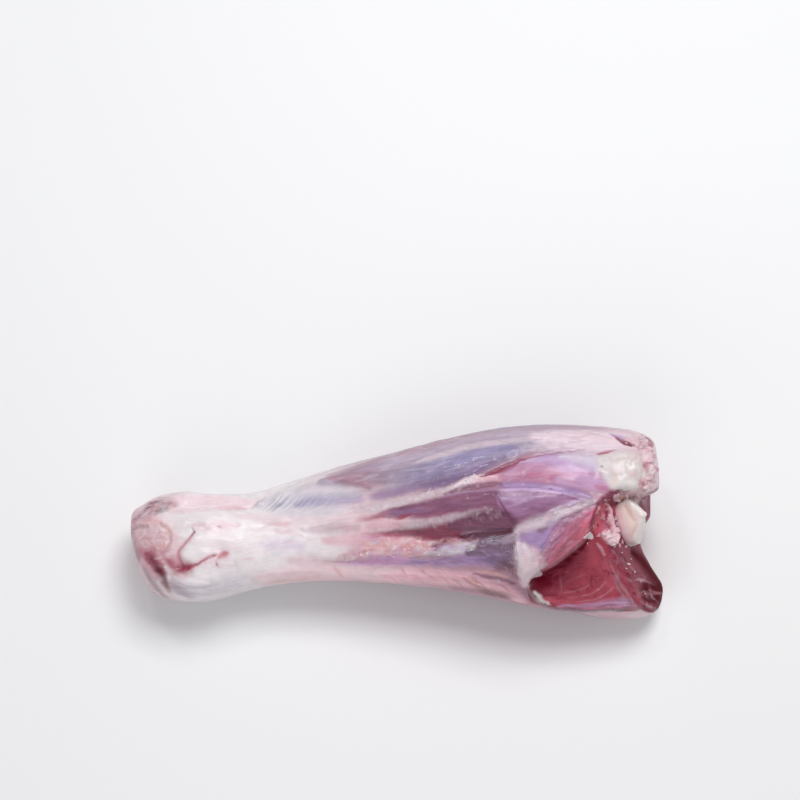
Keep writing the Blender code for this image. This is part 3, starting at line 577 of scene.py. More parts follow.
JOINT_END = {
    "cream_knob": Stroke("fat_white", ((602, 462, 2.2), (610, 467, 5), (620, 469, 7), (629, 472, 7),
        (636, 474, 5)), 0.95, 0.88, soft=0.35, relief=0.9, ragged=0.8),
    "knob_low": Stroke("fat_white", ((614, 484, 2.2), (624, 487, 3), (634, 487, 2.4)), 0.8, 0.97, soft=0.6),
    "knob_shade": Stroke("fat_orange", ((611, 470, 1), (615, 475, 1.6), (613, 482, 1)), 0.25, 0.95),
    # The knob's creases are painted shade, laid in darker orange fat.
    "knob_crease": Stroke("fat_orange", ((628.6, 466, 0.2), (630, 462, 0.35), (634, 460, 0.35),
        (637, 457, 0.2)), 0.5, 0.85, soft=0.9, relief=-0.3),
    "knob_crease_low": Stroke("fat_orange", ((612, 462, 0.2), (620, 459.6, 0.4), (630, 459, 0.2)), 0.4, 0.9,
        soft=0.9, relief=-0.25),
    "end_fat": Stroke("tendon_pink", ((645, 445, 1.8), (649, 455, 2.5), (650.4, 467, 2.5),
        (649.4, 479, 2.3), (645, 490, 1.8)), 0.9, 1.25, soft=0.6, relief=0.6, ragged=1.0, grainy=0.15),
    # The groove at the joint's end is painted shade, laid in darker orange fat.
    "end_groove": Stroke("fat_orange", ((640, 452, 0.4), (641.6, 463, 0.5), (641, 476, 0.5),
        (638, 488, 0.4)), 0.5, 0.85, soft=0.5, relief=-0.5, ragged=1),
    "end_dark": Stroke("meat_red", ((645, 436, 1.4), (650, 441, 1.8), (651, 448, 0.8)), tone=0.95, soft=0.6,
        relief=-0.4, ragged=1.0),
    "crevice_lilac": Stroke("skin_lilac", ((612, 436.4, 0.8), (620, 437.6, 1.5), (628, 439, 1.2)), 0.75,
        0.98, soft=0.6),
    "crevice": Stroke("meat_red", ((611, 434.6, 0.3), (616, 438, 0.7), (622, 441.6, 1.1), (628, 444, 1.2),
        (635, 445.8, 0.6)), 0.9, 0.95, soft=0.5, relief=-0.6, ragged=0.8),
    "crevice_fat": Stroke("fat_pink", ((625, 440, 0.7), (631, 441.6, 1.1), (637, 442.6, 1.3),
        (642, 446, 0.9)), tone=1.08, soft=0.5, relief=0.5, ragged=0.8),
    "slit_end": Stroke("blood", ((597.6, 454.2, 0.25), (605, 452.8, 0.65), (611, 451.2, 0.5),
        (615, 450.4, 0.2)), 0.8, 1.05, soft=0.5, relief=-0.6),
    "above_bone": Stroke("fat_orange", ((612, 496, 1), (624, 496.6, 2), (634, 495, 2), (643, 494, 1.4)),
        0.8, 0.95, soft=0.8, relief=0.5),
    "under_bone_fat": Stroke("fat_pink", ((616, 499, 0.8), (628, 500, 1.2), (640, 498, 1.2)), 0.8, 1.05,
        soft=0.8, relief=0.4, ragged=0.8),
}

# The cut through the shin muscles, with painted light and shade on its faces.
CUT = {
    "glow": Stroke("cut_warm", ((566, 600, 3), (588, 598, 5), (606, 584, 4.4), (606, 566, 3)), 0.6, 0.95),
    "apex": Stroke("cut_warm", ((587.6, 541.5, 0.8), (591, 549, 1.6), (595, 558, 2), (603, 568, 1.4)), 0.6),
    "shade": Stroke("cut_dull", ((536, 592, 3), (550, 585, 4.4), (564, 575, 4.6), (577, 562, 3.4),
        (585, 550, 1.6)), 0.7, 0.75),
    # Painted shade under the overhanging sheet.
    "deep": Stroke("cut_blood_and_shade", ((530, 579, 2), (540, 578, 3.4), (551, 572, 3.2), (563, 563.6, 2.4),
        (574, 554.6, 1.7), (583, 545.6, 0.9), (587, 540, 0.5)), 0.9, 0.95),
    "deep_low": Stroke("cut_blood_and_shade", ((532, 588, 1.8), (542, 586, 3.2), (552, 581, 2.6), (561, 575, 1.4)),
        0.6, 1.4),
    "warm_low": Stroke("cut_warm", ((550, 599.6, 1), (564, 602, 1.7), (584, 604.4, 1.7), (602, 602, 1.4),
        (614, 597.6, 0.8)), 0.8, 1.15, soft=0.9),
    "warm_side": Stroke("cut_warm", ((604, 562, 0.8), (609, 576, 2.1), (612, 590, 1.7)), 0.7, 1.12),
    "corner_fat": Stroke("fat_white", ((535, 591.6, 0.5), (538.6, 596.6, 1.1), (542.6, 600.6, 1),
        (549, 603, 0.5)), 0.9, 0.97, soft=0.6, relief=0.6, ragged=1.0),
    "corner_warm": Stroke("cut_warm", ((546, 597.6, 0.8), (556, 600.6, 0.8)), 0.7, 1.3, soft=0.9),
    "arc_inner": Stroke("fat_pink", ((561, 573.6, 0.1), (560, 580, 0.18), (562, 588, 0.22),
        (560, 594, 0.1)), 0.3, 0.85),
    "arc_short": Stroke("fat_pink", ((567, 583, 0.1), (577, 578, 0.18), (586, 574.6, 0.1)), 0.25, 0.85),
    "arc_high": Stroke("fat_pink", ((564, 592.4, 0.12), (575, 591, 0.25), (586, 587, 0.25),
        (594, 581, 0.12)), 0.45, 0.95, soft=0.9, relief=0.12),
    "arc_middle": Stroke("fat_pink", ((570, 597.6, 0.12), (585, 595, 0.25), (598, 589.6, 0.3),
        (607, 581, 0.12)), 0.55, soft=0.8, relief=0.15),
    "arc_low": Stroke("fat_pink", ((576, 602, 0.12), (592, 599.6, 0.25), (606, 594, 0.3), (615, 586, 0.12)),
        0.5, soft=0.8, relief=0.15),
    "ridge_top": Stroke("fat_pink", ((597, 543, 0.3), (601, 549, 0.6), (605, 555, 0.3)), 0.75, soft=0.7,
        relief=0.3),
    "ridge": Stroke("cut_rose", ((599, 546, 0.3), (605, 560, 0.5), (612, 577, 0.5), (619, 593, 0.4)), 0.4,
        soft=0.9, relief=0.3),
    "end_red": Stroke("cut_warm", ((612, 560, 1.4), (622, 574, 2.4), (632, 588, 2.4), (640, 600, 1.6)), 0.5,
        0.85),
    "end_streak": Stroke("film", ((611, 566, 0.2), (618, 579, 0.45), (626, 593, 0.5), (636, 607, 0.4),
        (641, 612, 0.25)), 0.6, 1.1, soft=0.9, relief=0.3),
    "end_streak_near": Stroke("film", ((614, 577, 0.2), (619, 588, 0.4), (624, 597, 0.3)), 0.6, 1.05,
        soft=0.9),
    "end_lilac": Stroke("film", ((622, 598, 1), (630, 605, 1.6), (640, 611, 1.2)), 0.55, 1.05),
    "end_line": Stroke("fat_pink", ((634, 580.8, 0.2), (642, 580.6, 0.5), (654, 584.6, 0.25)), 0.8, 1.1,
        soft=0.7, relief=0.4),
    # Painted shade at the cut's far end, which turns from the light.
    "end_deep": Stroke("cut_blood_and_shade", ((632, 552, 1.4), (644, 563, 3), (655, 576, 3.8), (664, 590, 3)), 0.95,
        0.9),
    "end_dusk": Stroke("cut_blood_and_shade", ((646, 602, 2), (656, 600, 3), (665, 594, 2)), tone=0.85),
}

# The film that hangs under the cut.
RIM = {
    "rim": Stroke("film", ((531, 591, 0.5), (538, 602, 1), (549, 607.6, 1.4), (563, 610, 1.5),
        (580, 611.2, 1.5), (600, 610.8, 1.5), (620, 609, 1.3), (638, 608, 0.9)), tone=0.62, soft=0.7,
        ragged=0.8, streaks=0.3, fade=(0, 6)),
    "low_rim": Stroke("skin_lilac", ((553, 605, 0.3), (566, 606.6, 0.7), (582, 606.6, 1), (598, 604.4, 1.5),
        (612, 602.4, 1.6), (624, 602.6, 1.3), (635, 604.6, 0.7)), 0.6, 0.95, ragged=0.8, streaks=0.35,
        fade=(3, 5)),
    "rim_light": Stroke("skin_white", ((560, 611, 0.3), (580, 612.4, 0.5), (602, 611.8, 0.5),
        (622, 610, 0.3)), 0.6, 1.05, soft=0.9, ragged=0.8, fade=(4, 4)),
}

# The hollow between the cut and the joint's cartilage.
RECESS = {
    "recess_red": Stroke("cut_bright", ((606, 504, 1.6), (600, 512, 3), (599, 523, 3.6), (602, 535, 3.2)),
        0.95, 1.5, soft=0.8, ragged=0.8),
    "recess_pink": Stroke("cut_rose", ((603, 515, 1), (605, 524, 1.4), (600, 535, 1.4)), 0.7, 1.25,
        soft=0.9, relief=0.5, grainy=0.6),
    "recess_dark": Stroke("cut_blood_and_shade", ((597, 524, 0.3), (598.4, 526.4, 0.4)), 0.9, soft=0.8, relief=-0.3),
    "strand": Stroke("fat_pink", ((607.6, 505, 0.8), (609, 514, 1.3), (612, 524, 1.5), (616, 535, 1.7),
        (620, 546, 1.4)), 0.95, 1.3, soft=0.5, relief=1.2, ragged=0.9),
    "strand_pink": Stroke("fat_pink", ((610, 512, 0.5), (611, 522, 0.6), (615, 532, 0.6)), 0.6, 1.1,
        soft=0.9),
    "grains": Stroke("tendon_pink", ((603, 535, 1), (611, 539, 2.4), (619, 545, 2.1)), 0.9, 1.25, soft=0.8,
        relief=0.9, ragged=1.0, grainy=0.2),
    "beside_strand": Stroke("cut_warm", ((614, 508, 1), (618, 520, 1.4), (621, 532, 1.2)), 0.7, 1.4,
        soft=0.9),
}

# The bare cartilage of the joint's front lobe, with its brown crease laid as painted shade.
CARTILAGE = {
    "main_side": Stroke("cartilage", ((622, 508, 4), (628, 524, 6), (634, 536, 4)), 0.9, 1.14, soft=0.8),
    "pink_side": Stroke("fat_pink", ((617, 507, 1.2), (620, 518, 1.8), (622, 530, 2.2), (627, 540, 1.8)),
        0.8, 1.05, grainy=0.2),
    "brown_crease": Stroke("fat_orange", ((625, 506, 0.3), (630, 512, 0.7), (634, 520, 0.5)), 0.6, 0.85,
        relief=-0.5),
    "top_ridge": Stroke("fat_white", ((626, 500.6, 0.7), (635, 507.6, 1), (644, 516, 0.8)), 0.95, 1.1,
        soft=0.5, relief=0.8),
    "side_facet": Stroke("fat_white", ((642, 520, 1.4), (641, 530, 1.8), (637, 539, 1.2)), soft=0.6,
        relief=0.25),
    "facet_line": Stroke("fat_orange", ((636, 519, 0.25), (635, 528, 0.35), (631, 537, 0.25)), 0.4, 0.95,
        soft=0.9, relief=-0.3),
    "low_rim": Stroke("fat_white", ((622, 541, 0.5), (631, 543.4, 0.8), (639, 540.6, 0.6)), tone=1.05,
        soft=0.6, relief=0.5),
}

# What the photograph hides: x along the leg in mm, degrees round it from straight up towards the calf side,
# and half width in mm.
HIDDEN = {
    "shin_side": Stroke("fat_pink", ((-60, -80, 6), (-20, -84, 9), (20, -86, 12), (60, -90, 14),
        (92, -96, 12)), 0.6, 1.1),
    # Painted shade along the shin's underside.
    "shin_underside_shade": Stroke("meat_mauve", ((4, -80, 2), (34, -76, 5), (54, -78, 6), (76, -92, 3)), 0.65, 0.9,
        streaks=0.15),
    "heel_side": Stroke("skin_lilac", ((-98, -100, 4), (-84, -96, 6), (-66, -98, 4)), 0.3, streaks=0.2),
    "back_muscle": Stroke("skin_grey", ((-34, 84, 3), (-10, 84, 8), (30, 86, 11), (66, 88, 11),
        (92, 88, 8)), 0.8, soft=0.4, streaks=0.15),
    "back_blue": Stroke("skin_blue", ((-10, 78, 2), (20, 78, 4), (50, 80, 4.4), (80, 84, 2)), 0.6, soft=0.8,
        streaks=0.2),
    "back_mauve": Stroke("meat_mauve", ((-30, 108, 1.5), (0, 112, 5), (36, 114, 7), (70, 116, 6),
        (92, 118, 3)), 0.75, 1.1, soft=0.5, streaks=0.2),
    "under_muscle": Stroke("meat_pink", ((-30, 150, 3), (0, 158, 8), (40, 165, 11), (80, 168, 9)), 0.7,
        soft=0.5, streaks=0.15),
    "under_violet": Stroke("skin_violet", ((-20, 170, 2), (20, 176, 6), (60, 178, 7), (88, 178, 4)), 0.6,
        1.1, soft=0.7, streaks=0.15),
    "under_mauve": Stroke("meat_mauve", ((-34, -128, 2), (0, -130, 5), (40, -132, 7), (76, -134, 6)), 0.7,
        1.1, soft=0.5, streaks=0.2),
    "back_seam_fat": Stroke("fat_cream", ((-52, 62, 1), (-30, 74, 1.4), (0, 82, 1.3), (36, 88, 1.4),
        (70, 94, 1.6), (98, 96, 2)), 0.75, soft=0.6, relief=0.3, grainy=0.3),
    "deep_seam_fat": Stroke("fat_cream", ((-46, 122, 1), (-14, 128, 1.4), (20, 132, 1.2), (56, 136, 1.5),
        (90, 138, 2)), 0.75, soft=0.6, relief=0.3, grainy=0.3),
    "under_seam_fat": Stroke("fat_pink", ((-40, -150, 1), (-8, -156, 1.4), (28, -160, 1.3), (62, -158, 1.6),
        (92, -150, 2)), 0.75, soft=0.6, relief=0.3, grainy=0.3),
    "shin_seam_fat": Stroke("fat_cream", ((-58, -104, 1.2), (-24, -102, 1.6), (12, -104, 1.6),
        (46, -108, 1.6), (84, -106, 2)), 0.7, soft=0.6, relief=0.3, grainy=0.3),
}

HIDDEN_FADE = (24, 10)

# The leg's colour where no stroke covers it, from the knuckle to the joint end, in mm.
LEG_TINTS = (
    (-106, "fat_pink"),
    (-96, "tendon_pink"),
    (-80, "tendon_white"),
    (-40, "tendon_white"),
    (-12, "tendon_pink"),
    (20, "meat_brown"),
    (70, "meat_brown"),
    (96, "tendon_pink"),
    (106, "fat_cream"),
)
BONE_TINTS = ((70, "fat_pink"), (82, "cartilage"), (106, "cartilage"))


class Flecks(NamedTuple):
    """Small bits strewn along a line: its points with half widths in mm, how many bits, of which tissues,
    their length and half width in mm, their turn from the line in degrees, how far they stray from it, how
    strongly they cover and how high they stand.
    """

    points: tuple
    count: int
    tissues: tuple
    length: tuple
    width: tuple
    turn: float = 0
    stray: float = 30
    strength: tuple = (0.15, 0.4)
    relief: float = 0.0


FLECKS = {
    "cap": Flecks(((137, 526, 2), (147, 534, 5), (159, 542, 4.4), (163, 556, 3)), 90, ("fat_white",
        "tendon_pink", "fat_orange", "meat_brown"), (1.2, 4), (0.3, 0.7), stray=60, strength=(0.12, 0.4),
        relief=0.2),
    "torn_top": Flecks(((138, 518, 1.4), (154, 507, 3), (174, 501, 2.4)), 70, ("meat_red", "tendon_white",
        "fat_pink", "fat_orange", "meat_plum"), (1.5, 6), (0.15, 0.4), stray=16, strength=(0.25, 0.65),
        relief=0.15),
    "shaft": Flecks(((190, 540, 10), (250, 545, 10), (310, 548, 7)), 40, ("tendon_pink", "fat_pink",
        "tendon_white"), (6, 16), (0.5, 1.4), stray=8, strength=(0.08, 0.22)),
    "calf": Flecks(((340, 477, 2.4), (400, 464, 6), (460, 452, 6.4), (530, 440, 6), (600, 438, 4)), 70,
        ("skin_white", "skin_violet", "meat_brown", "fat_cream"), (6, 20), (0.2, 0.7), stray=5,
        strength=(0.12, 0.35)),
    "calf_blue": Flecks(((404, 484, 1.4), (450, 469, 4), (505, 453, 3)), 46, ("skin_lilac", "skin_violet",
        "skin_grey", "skin_blue"), (4, 14), (0.2, 0.6), stray=6),
    "calf_hairs": Flecks(((360, 480, 3), (420, 468, 6), (480, 456, 5), (560, 446, 6)), 70, ("skin_white",),
        (1.6, 4), (0.1, 0.18), turn=-42, stray=14, relief=0.05),
    "band": Flecks(((350, 511, 1.4), (400, 502, 1.7), (440, 492, 1.5), (484, 479, 1.8)), 70, ("fat_white",
        "fat_pink", "fat_cream", "skin_lilac"), (0.8, 3), (0.25, 0.6), strength=(0.15, 0.45), relief=0.08),
    "pink_meat": Flecks(((505, 477, 2), (545, 469, 6), (592, 472, 5)), 60, ("skin_lilac", "cut_rose",
        "meat_pink", "skin_white"), (5, 16), (0.25, 0.8), stray=4, strength=(0.1, 0.28)),
    "dark_upper": Flecks(((385, 514, 1), (430, 508, 2.6), (490, 500, 3.6)), 40, ("meat_plum", "meat_violet",
        "skin_violet"), (4, 12), (0.2, 0.5), stray=4),
    "dark_right": Flecks(((508, 508, 4), (545, 503, 3.6), (576, 500, 1)), 40, ("meat_mauve", "skin_lilac",
        "meat_violet"), (4, 12), (0.2, 0.5), stray=5, strength=(0.12, 0.3)),
    "e_line": Flecks(((368, 530, 1), (390, 525, 2), (440, 521, 1.4), (490, 510, 1)), 80,
        ("fat_white", "skin_white", "fat_pink"), (0.6, 2.4), (0.18, 0.4), stray=40, strength=(0.15, 0.45),
        relief=0.08),
    "e_fringes": Flecks(((396, 527, 0.8), (430, 525, 1.4), (480, 518, 1.6), (500, 513, 1)), 120,
        ("skin_white", "fat_cream", "skin_lilac"), (1, 2.8), (0.1, 0.2), turn=70, stray=12,
        strength=(0.1, 0.24)),
    "red_wedge": Flecks(((380, 535, 0.6), (420, 534, 1.8), (462, 531, 2.6)), 40,
        ("meat_plum", "cut_rose", "blood"), (3, 10), (0.2, 0.45), stray=5, strength=(0.2, 0.45)),
    "front_fat": Flecks(((338, 559, 1), (370, 551, 3.2), (400, 546, 3.6), (432, 547, 2)), 150,
        ("fat_orange", "fat_white", "fat_pink", "tendon_pink", "skin_lilac"), (0.8, 4), (0.25, 0.8),
        turn=-20, strength=(0.15, 0.5), relief=0.12),
    "gap": Flecks(((434, 546, 1), (450, 542, 1.8), (474, 540, 1.6)), 40, ("meat_red", "fat_pink",
        "cut_blood_and_shade", "skin_lilac"), (1.5, 5), (0.25, 0.6), stray=25, strength=(0.2, 0.5), relief=0.05),
    "white_sheen": Flecks(((424, 553, 1.4), (450, 550, 2.6), (476, 546, 1.6)), 50, ("fat_white",
        "skin_lilac", "skin_violet"), (1.2, 4.4), (0.2, 0.6), stray=24, strength=(0.15, 0.5), relief=0.06),
    "violet_low": Flecks(((338, 562.6, 0.8), (380, 561, 1.9), (440, 562, 1.8), (484, 561, 2.4)), 70,
        ("skin_lilac", "meat_violet", "fat_pink", "skin_dusk"), (2, 8), (0.2, 0.55), stray=8,
        strength=(0.15, 0.45)),
    "dusk": Flecks(((478, 550, 3), (498, 553, 5), (512, 560, 4.6)), 80, ("skin_grey", "skin_violet",
        "skin_lilac", "meat_plum"), (1.2, 5), (0.2, 0.6), strength=(0.1, 0.32), relief=0.06),
    "shin_pink": Flecks(((395, 577, 3), (450, 580, 4), (505, 593, 4.4)), 90, ("fat_orange", "fat_pink",
        "meat_red", "fat_white"), (1.4, 5), (0.2, 0.55), turn=30, stray=18, strength=(0.1, 0.35),
        relief=0.08),
    "sheet": Flecks(((538, 562, 1.4), (560, 543, 4.4), (580, 523, 3.6), (598, 506, 1.6)), 80, ("cut_rose",
        "skin_lilac", "fat_pink", "meat_mauve"), (3, 9), (0.2, 0.45), stray=6, strength=(0.2, 0.5)),
    "fascia": Flecks(((515, 532, 1), (540, 522, 2), (570, 509.6, 1.6), (612, 495.6, 0.9)), 70,
        ("skin_white", "skin_violet", "skin_lilac", "fat_pink"), (0.8, 4), (0.25, 0.7), stray=24,
        relief=0.1),
    "tab": Flecks(((524, 544, 3), (526, 562, 3.8), (525, 576, 2.4)), 40,
        ("fat_white", "skin_lilac", "fat_pink"), (1, 4), (0.3, 0.8), stray=24, strength=(0.2, 0.6),
        relief=0.1),
    "cream_knob": Flecks(((604, 466, 2.4), (620, 470, 6), (634, 475, 5)), 34, ("fat_white", "fat_cream",
        "tendon_white", "fat_pink"), (2, 6), (0.6, 1.4), stray=80, strength=(0.12, 0.35), relief=0.14),
    "joint_edge": Flecks(((640, 440, 2), (650, 456, 2.6), (650, 474, 2.6), (644, 491, 2)), 80, ("fat_white",
        "fat_pink", "tendon_pink", "blood"), (1.4, 5), (0.4, 1.1), stray=50, strength=(0.25, 0.7),
        relief=0.35),
}
CUT_FLECKS = {
    "near_face": Flecks(((545, 590, 3), (566, 582, 8), (590, 572, 10), (606, 580, 5)), 150, ("cut_bright",
        "cut_dull", "cut_warm", "cut_blood_and_shade"), (2, 8), (0.2, 0.6), turn=20, strength=(0.12, 0.4),
        relief=0.06),
    "end_face": Flecks(((610, 556, 2.4), (626, 576, 5), (642, 594, 6), (656, 600, 4)), 100, ("film",
        "cut_rose", "cut_blood_and_shade", "cut_warm"), (1.5, 7), (0.2, 0.6), stray=24, strength=(0.2, 0.55),
        relief=0.15),
}
RECESS_FLECKS = {
    "recess": Flecks(((604, 505, 1.6), (601, 518, 3.4), (604, 534, 4), (618, 544, 2.4)), 90, ("cut_bright",
        "cut_warm", "fat_pink", "fat_white", "blood"), (0.8, 3), (0.3, 0.8), stray=60, strength=(0.4, 0.85),
        relief=0.35),
}


class Torn(NamedTuple):
    """A torn thin skin: its outline in the photograph, how far it stands off and how far its edge curls, in
    mm, the tissue that tints it over what it lies on, with that tissue's share, and over how many pixels from
    its top the tissue comes in.
    """

    outline: tuple
    lift: float = 0.35
    curl: float = 0.6
    tissue: str = "tendon_pink"
    share: float = 0.0
    blend: float = 0.0


# Torn skins that lie loose on the meat.
TORN = {
    "fascia": Torn(((512, 531), (520, 527), (534, 519.5), (548, 514), (562, 509), (582, 501.5), (601, 495),
        (618, 490.5), (626, 490.5), (613, 496.5), (598, 502.5), (580, 510.5), (564, 518.5), (556, 526),
        (549, 536), (544, 544), (541, 549), (543, 555), (540.4, 560), (542, 566), (539, 569), (540.6, 573),
        (535, 577.4), (530, 578.6), (527, 584), (521, 580.6), (517.6, 575), (517, 567), (518, 557),
        (515, 544)), 0.0, 0.3),
    "tab": Torn(((517, 550), (524, 547), (532, 549), (539, 547.6), (542.4, 550), (540.4, 554), (543, 558),
        (540.4, 562), (542.4, 566), (540, 569.4), (542, 574), (537, 577.4), (531.6, 578), (528.6, 583.6),
        (521.4, 580.6), (517.8, 575), (516.8, 566), (518, 557)), 0.1, 0.4, share=0.72, blend=20),
    "apex_flap": Torn(((583, 537.4), (586, 534), (589.4, 530.8), (591.4, 533), (593, 539), (588, 538)), 0.5,
        0.8, "tendon_white", 0.75),
    "crevice_flap": Torn(((620, 436.6), (630, 437), (638, 440), (644, 446), (640, 449.6), (634, 446),
        (627, 442.6)), 0.2),
    "end_flap": Torn(((646, 452), (651, 454), (654.6, 461), (653, 469), (654.6, 478), (650, 484),
        (647, 474), (648, 463)), 0.1, 0.7),
    "cut_rim": Torn(((529, 580), (531.6, 590), (537, 598), (546, 603.6), (560, 606.6), (578, 608.4),
        (598, 608), (616, 605.6), (632, 605), (641, 607), (634, 609.4), (618, 610.4), (600, 611.2),
        (580, 611.4), (562, 610), (549, 608.6), (540, 604.6), (531, 597), (526.6, 588)), 0.0, 0.35),
}
TORN_SPACING = 1.25
TORN_THICKNESS = 0.5
TORN_ROOT = 0.3


class Crumbs(NamedTuple):
    """Bits of fat along a line: its points with half widths in mm, how many bits, and their sizes in mm."""

    points: tuple
    count: int
    least: float
    most: float


CRUMBS = {
    "band_cluster": Crumbs(((469, 481, 1), (475, 477, 1.6), (480, 475.6, 1)), 11, 0.5, 1.1),
    "band": Crumbs(((392, 504, 1), (430, 495, 1), (462, 484.6, 1.2)), 8, 0.3, 0.5),
    "e_line": Crumbs(((370, 529, 0.8), (388, 523, 1.8), (400, 524, 1)), 6, 0.25, 0.5),
    "front_fat": Crumbs(((360, 554, 1.6), (385, 548, 3), (412, 547, 3), (432, 547.6, 1.4)), 9, 0.4, 0.8),
    "front_bright": Crumbs(((386, 554, 0.6), (399, 556, 0.8), (414.6, 551, 0.9)), 5, 0.4, 0.75),
    "front_specks": Crumbs(((430, 553, 1), (446, 552, 1.6), (462, 555, 1.6), (474, 548, 1)), 6, 0.3, 0.5),
    "recess": Crumbs(((602, 535, 1), (610, 539, 2.4), (618, 544, 2.4), (626, 550, 1.4)), 15, 0.6, 1.4),
    "recess_top": Crumbs(((605, 500, 0.8), (609, 510, 1), (612, 524, 1.2)), 5, 0.8, 1.4),
    "beside_bone": Crumbs(((614, 506, 0.8), (616, 520, 1), (621, 534, 1.2), (628, 545, 1)), 8, 0.8, 1.5),
    "end_edge": Crumbs(((643, 440, 1.6), (651, 456, 1.8), (651, 474, 1.8), (643, 491, 1.8)), 26, 0.9, 2.0),
    "above_bone": Crumbs(((612, 497, 1), (624, 498, 1.4), (640, 497, 1.4)), 9, 0.9, 1.7),
    "crevice": Crumbs(((625, 441, 1), (634, 444, 1.2), (641, 447, 1)), 8, 0.6, 1.2),
    "sheet": Crumbs(((554.4, 533.5, 0.4), (552, 541, 0.4)), 3, 0.3, 0.5),
    "apex": Crumbs(((596, 537, 0.6), (600, 534, 0.6)), 3, 0.5, 0.8),
    "edge_glints": Crumbs(((480, 590.5, 0.3), (504, 594.5, 0.3)), 3, 0.3, 0.45),
}

# How deep crumbs sit in the surface, as a share of their size.
CRUMB_SINK = 0.28

# Fine loose fibres, as points in the photograph: those drawn one by one, then the patches of stray ones, each
# with its centre, half sizes, count, lengths in pixels, and slope in radians.
FIBRES = (
    ((502.5, 565), (502, 559), (503.4, 554), (507, 550.8), (510.6, 552.4), (514, 555.6), (517, 554)),
    ((507.4, 550.6), (505.6, 547.4), (508, 544.6)),
    ((516, 540), (511.6, 538), (508, 540.6), (503, 541)),
    ((527, 582), (528.6, 589), (533, 596), (538, 600)),
    ((524.6, 583), (525, 590), (528, 597), (533, 604)),
)
STRAY_FIBRES = {
    "fuzz": ((500, 539), (17, 4), 9, (6, 14), 0.1),
    "torn_top": ((158, 511), (10, 4), 12, (8, 14), -0.6),
    "calf": ((432, 474), (48, 6), 12, (5, 9), -1.1),
    "tab_side": ((511, 560), (6, 16), 8, (5, 10), 1.2),
    "end_side": ((643, 487), (4, 6), 6, (4, 8), -0.9),
}
FIBRE_RADIUS = 0.09

# Wet beads of juice, pale as a painted highlight where glints show on the cut: x, y and half width in mm.
BEADS = (
    (629, 564, 0.8), (626.6, 568.6, 0.45), (635, 572, 0.6), (622, 552.6, 0.3), (631, 559, 0.35),
    (645, 593.6, 0.35), (604, 519, 0.35), (641, 582, 0.4), (587.6, 543.4, 0.35), (609, 499.6, 0.4),
)


def plug(node, sockets):
    """Gives each input a value, or links it to what feeds it, where a node stands for its first output."""
    for socket, source in dict(sockets).items():
        if isinstance(source, bpy.types.Node):
            source = source.outputs[0]
        if isinstance(source, bpy.types.NodeSocket):
            node.id_data.links.new(source, node.inputs[socket])
        else:
            node.inputs[socket].default_value = source


def add_node(tree, kind, sockets=(), **settings):
    """A node with its settings and what its sockets take."""
    node = tree.nodes.new(kind)
    for name, value in settings.items():
        setattr(node, name, value)
    plug(node, sockets)
    return node


def new_material(name):
    """An empty node material with its Principled shader."""
    material = bpy.data.materials.new(name)
    material.use_nodes = True
    tree = material.node_tree
    tree.nodes.clear()
    shader = tree.nodes.new("ShaderNodeBsdfPrincipled")
    output = tree.nodes.new("ShaderNodeOutputMaterial")
    tree.links.new(shader.outputs["BSDF"], output.inputs["Surface"])
    return material, tree, shader


def soft_noise(points, cell, seed=0):
    """Smooth random numbers from -1 to 1 at the points, with about one bump for each cell."""
    table = np.random.default_rng(seed).uniform(-1, 1, (32, 32, 32))
    spot = points / cell
    low = np.floor(spot).astype(int)
    part = spot - low
    part = part * part * (3 - 2 * part)
    total = np.zeros(len(points))
    for corner in np.ndindex(2, 2, 2):
        weight = np.where(corner, part, 1 - part).prod(axis=1)
        i, j, k = ((low + corner) % 32).T
        total += weight * table[i, j, k]
    return total


def smoothstep(low, high, values):
    """0 below low, 1 above high, and a smooth rise between."""
    t = np.clip((values - low) / (high - low), 0, 1)
    return t * t * (3 - 2 * t)


def smooth_rows(rows, steps, closed=False):
    """Rows of numbers joined by a Catmull-Rom curve, with this many steps between two rows."""
    rows = np.array(rows, float)
    if closed:
        padded = np.vstack([rows[-1], rows, rows[:2]])
    else:
        padded = np.vstack([2 * rows[0] - rows[1], rows, 2 * rows[-1] - rows[-2]])
    t = (np.arange(steps) / steps)[:, None]
    found = []
    for i in range(1, len(padded) - 2):
        a, b, c, d = padded[i - 1 : i + 3]
        bend, twist = 2 * a - 5 * b + 4 * c - d, 3 * b - a - 3 * c + d
        found.append(0.5 * (2 * b + (c - a) * t + bend * t**2 + twist * t**3))
    return np.vstack(found if closed else [*found, rows[-1:]])


def mesh_points(mesh):
    """A mesh's points as an array."""
    points = np.empty(len(mesh.vertices) * 3)
    mesh.vertices.foreach_get("co", points)
    return points.reshape(-1, 3)


def mesh_normals(mesh):
    """The normals at a mesh's points as an array."""
    normals = np.empty(len(mesh.vertices) * 3)
    mesh.vertex_normals.foreach_get("vector", normals)
    return normals.reshape(-1, 3)


def merged_copy(node):
    """A CAD node's mesh, copied and with its triangles joined."""
    bm = bmesh.new()
    bm.from_mesh(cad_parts[node].data)
    bmesh.ops.remove_doubles(bm, verts=bm.verts, dist=0.001 * MM)
    bmesh.ops.recalc_face_normals(bm, faces=bm.faces)
    return bm


def mesh_from(bm, name):
    """The finished mesh of one bmesh."""
    mesh = bpy.data.meshes.new(name)
    bm.to_mesh(mesh)
    bm.free()
    return mesh


def new_piece(name, mesh):
    """An object for this mesh, at the origin."""
    piece = bpy.data.objects.new(name, mesh)
    bpy.context.scene.collection.objects.link(piece)
    return piece


def settled_mesh(piece):
    """The mesh that the piece's modifiers make, with the modifiers then removed."""
    graph = bpy.context.evaluated_depsgraph_get()
    mesh = bpy.data.meshes.new_from_object(piece.evaluated_get(graph))
    piece.modifiers.clear()
    piece.data = mesh
    return mesh


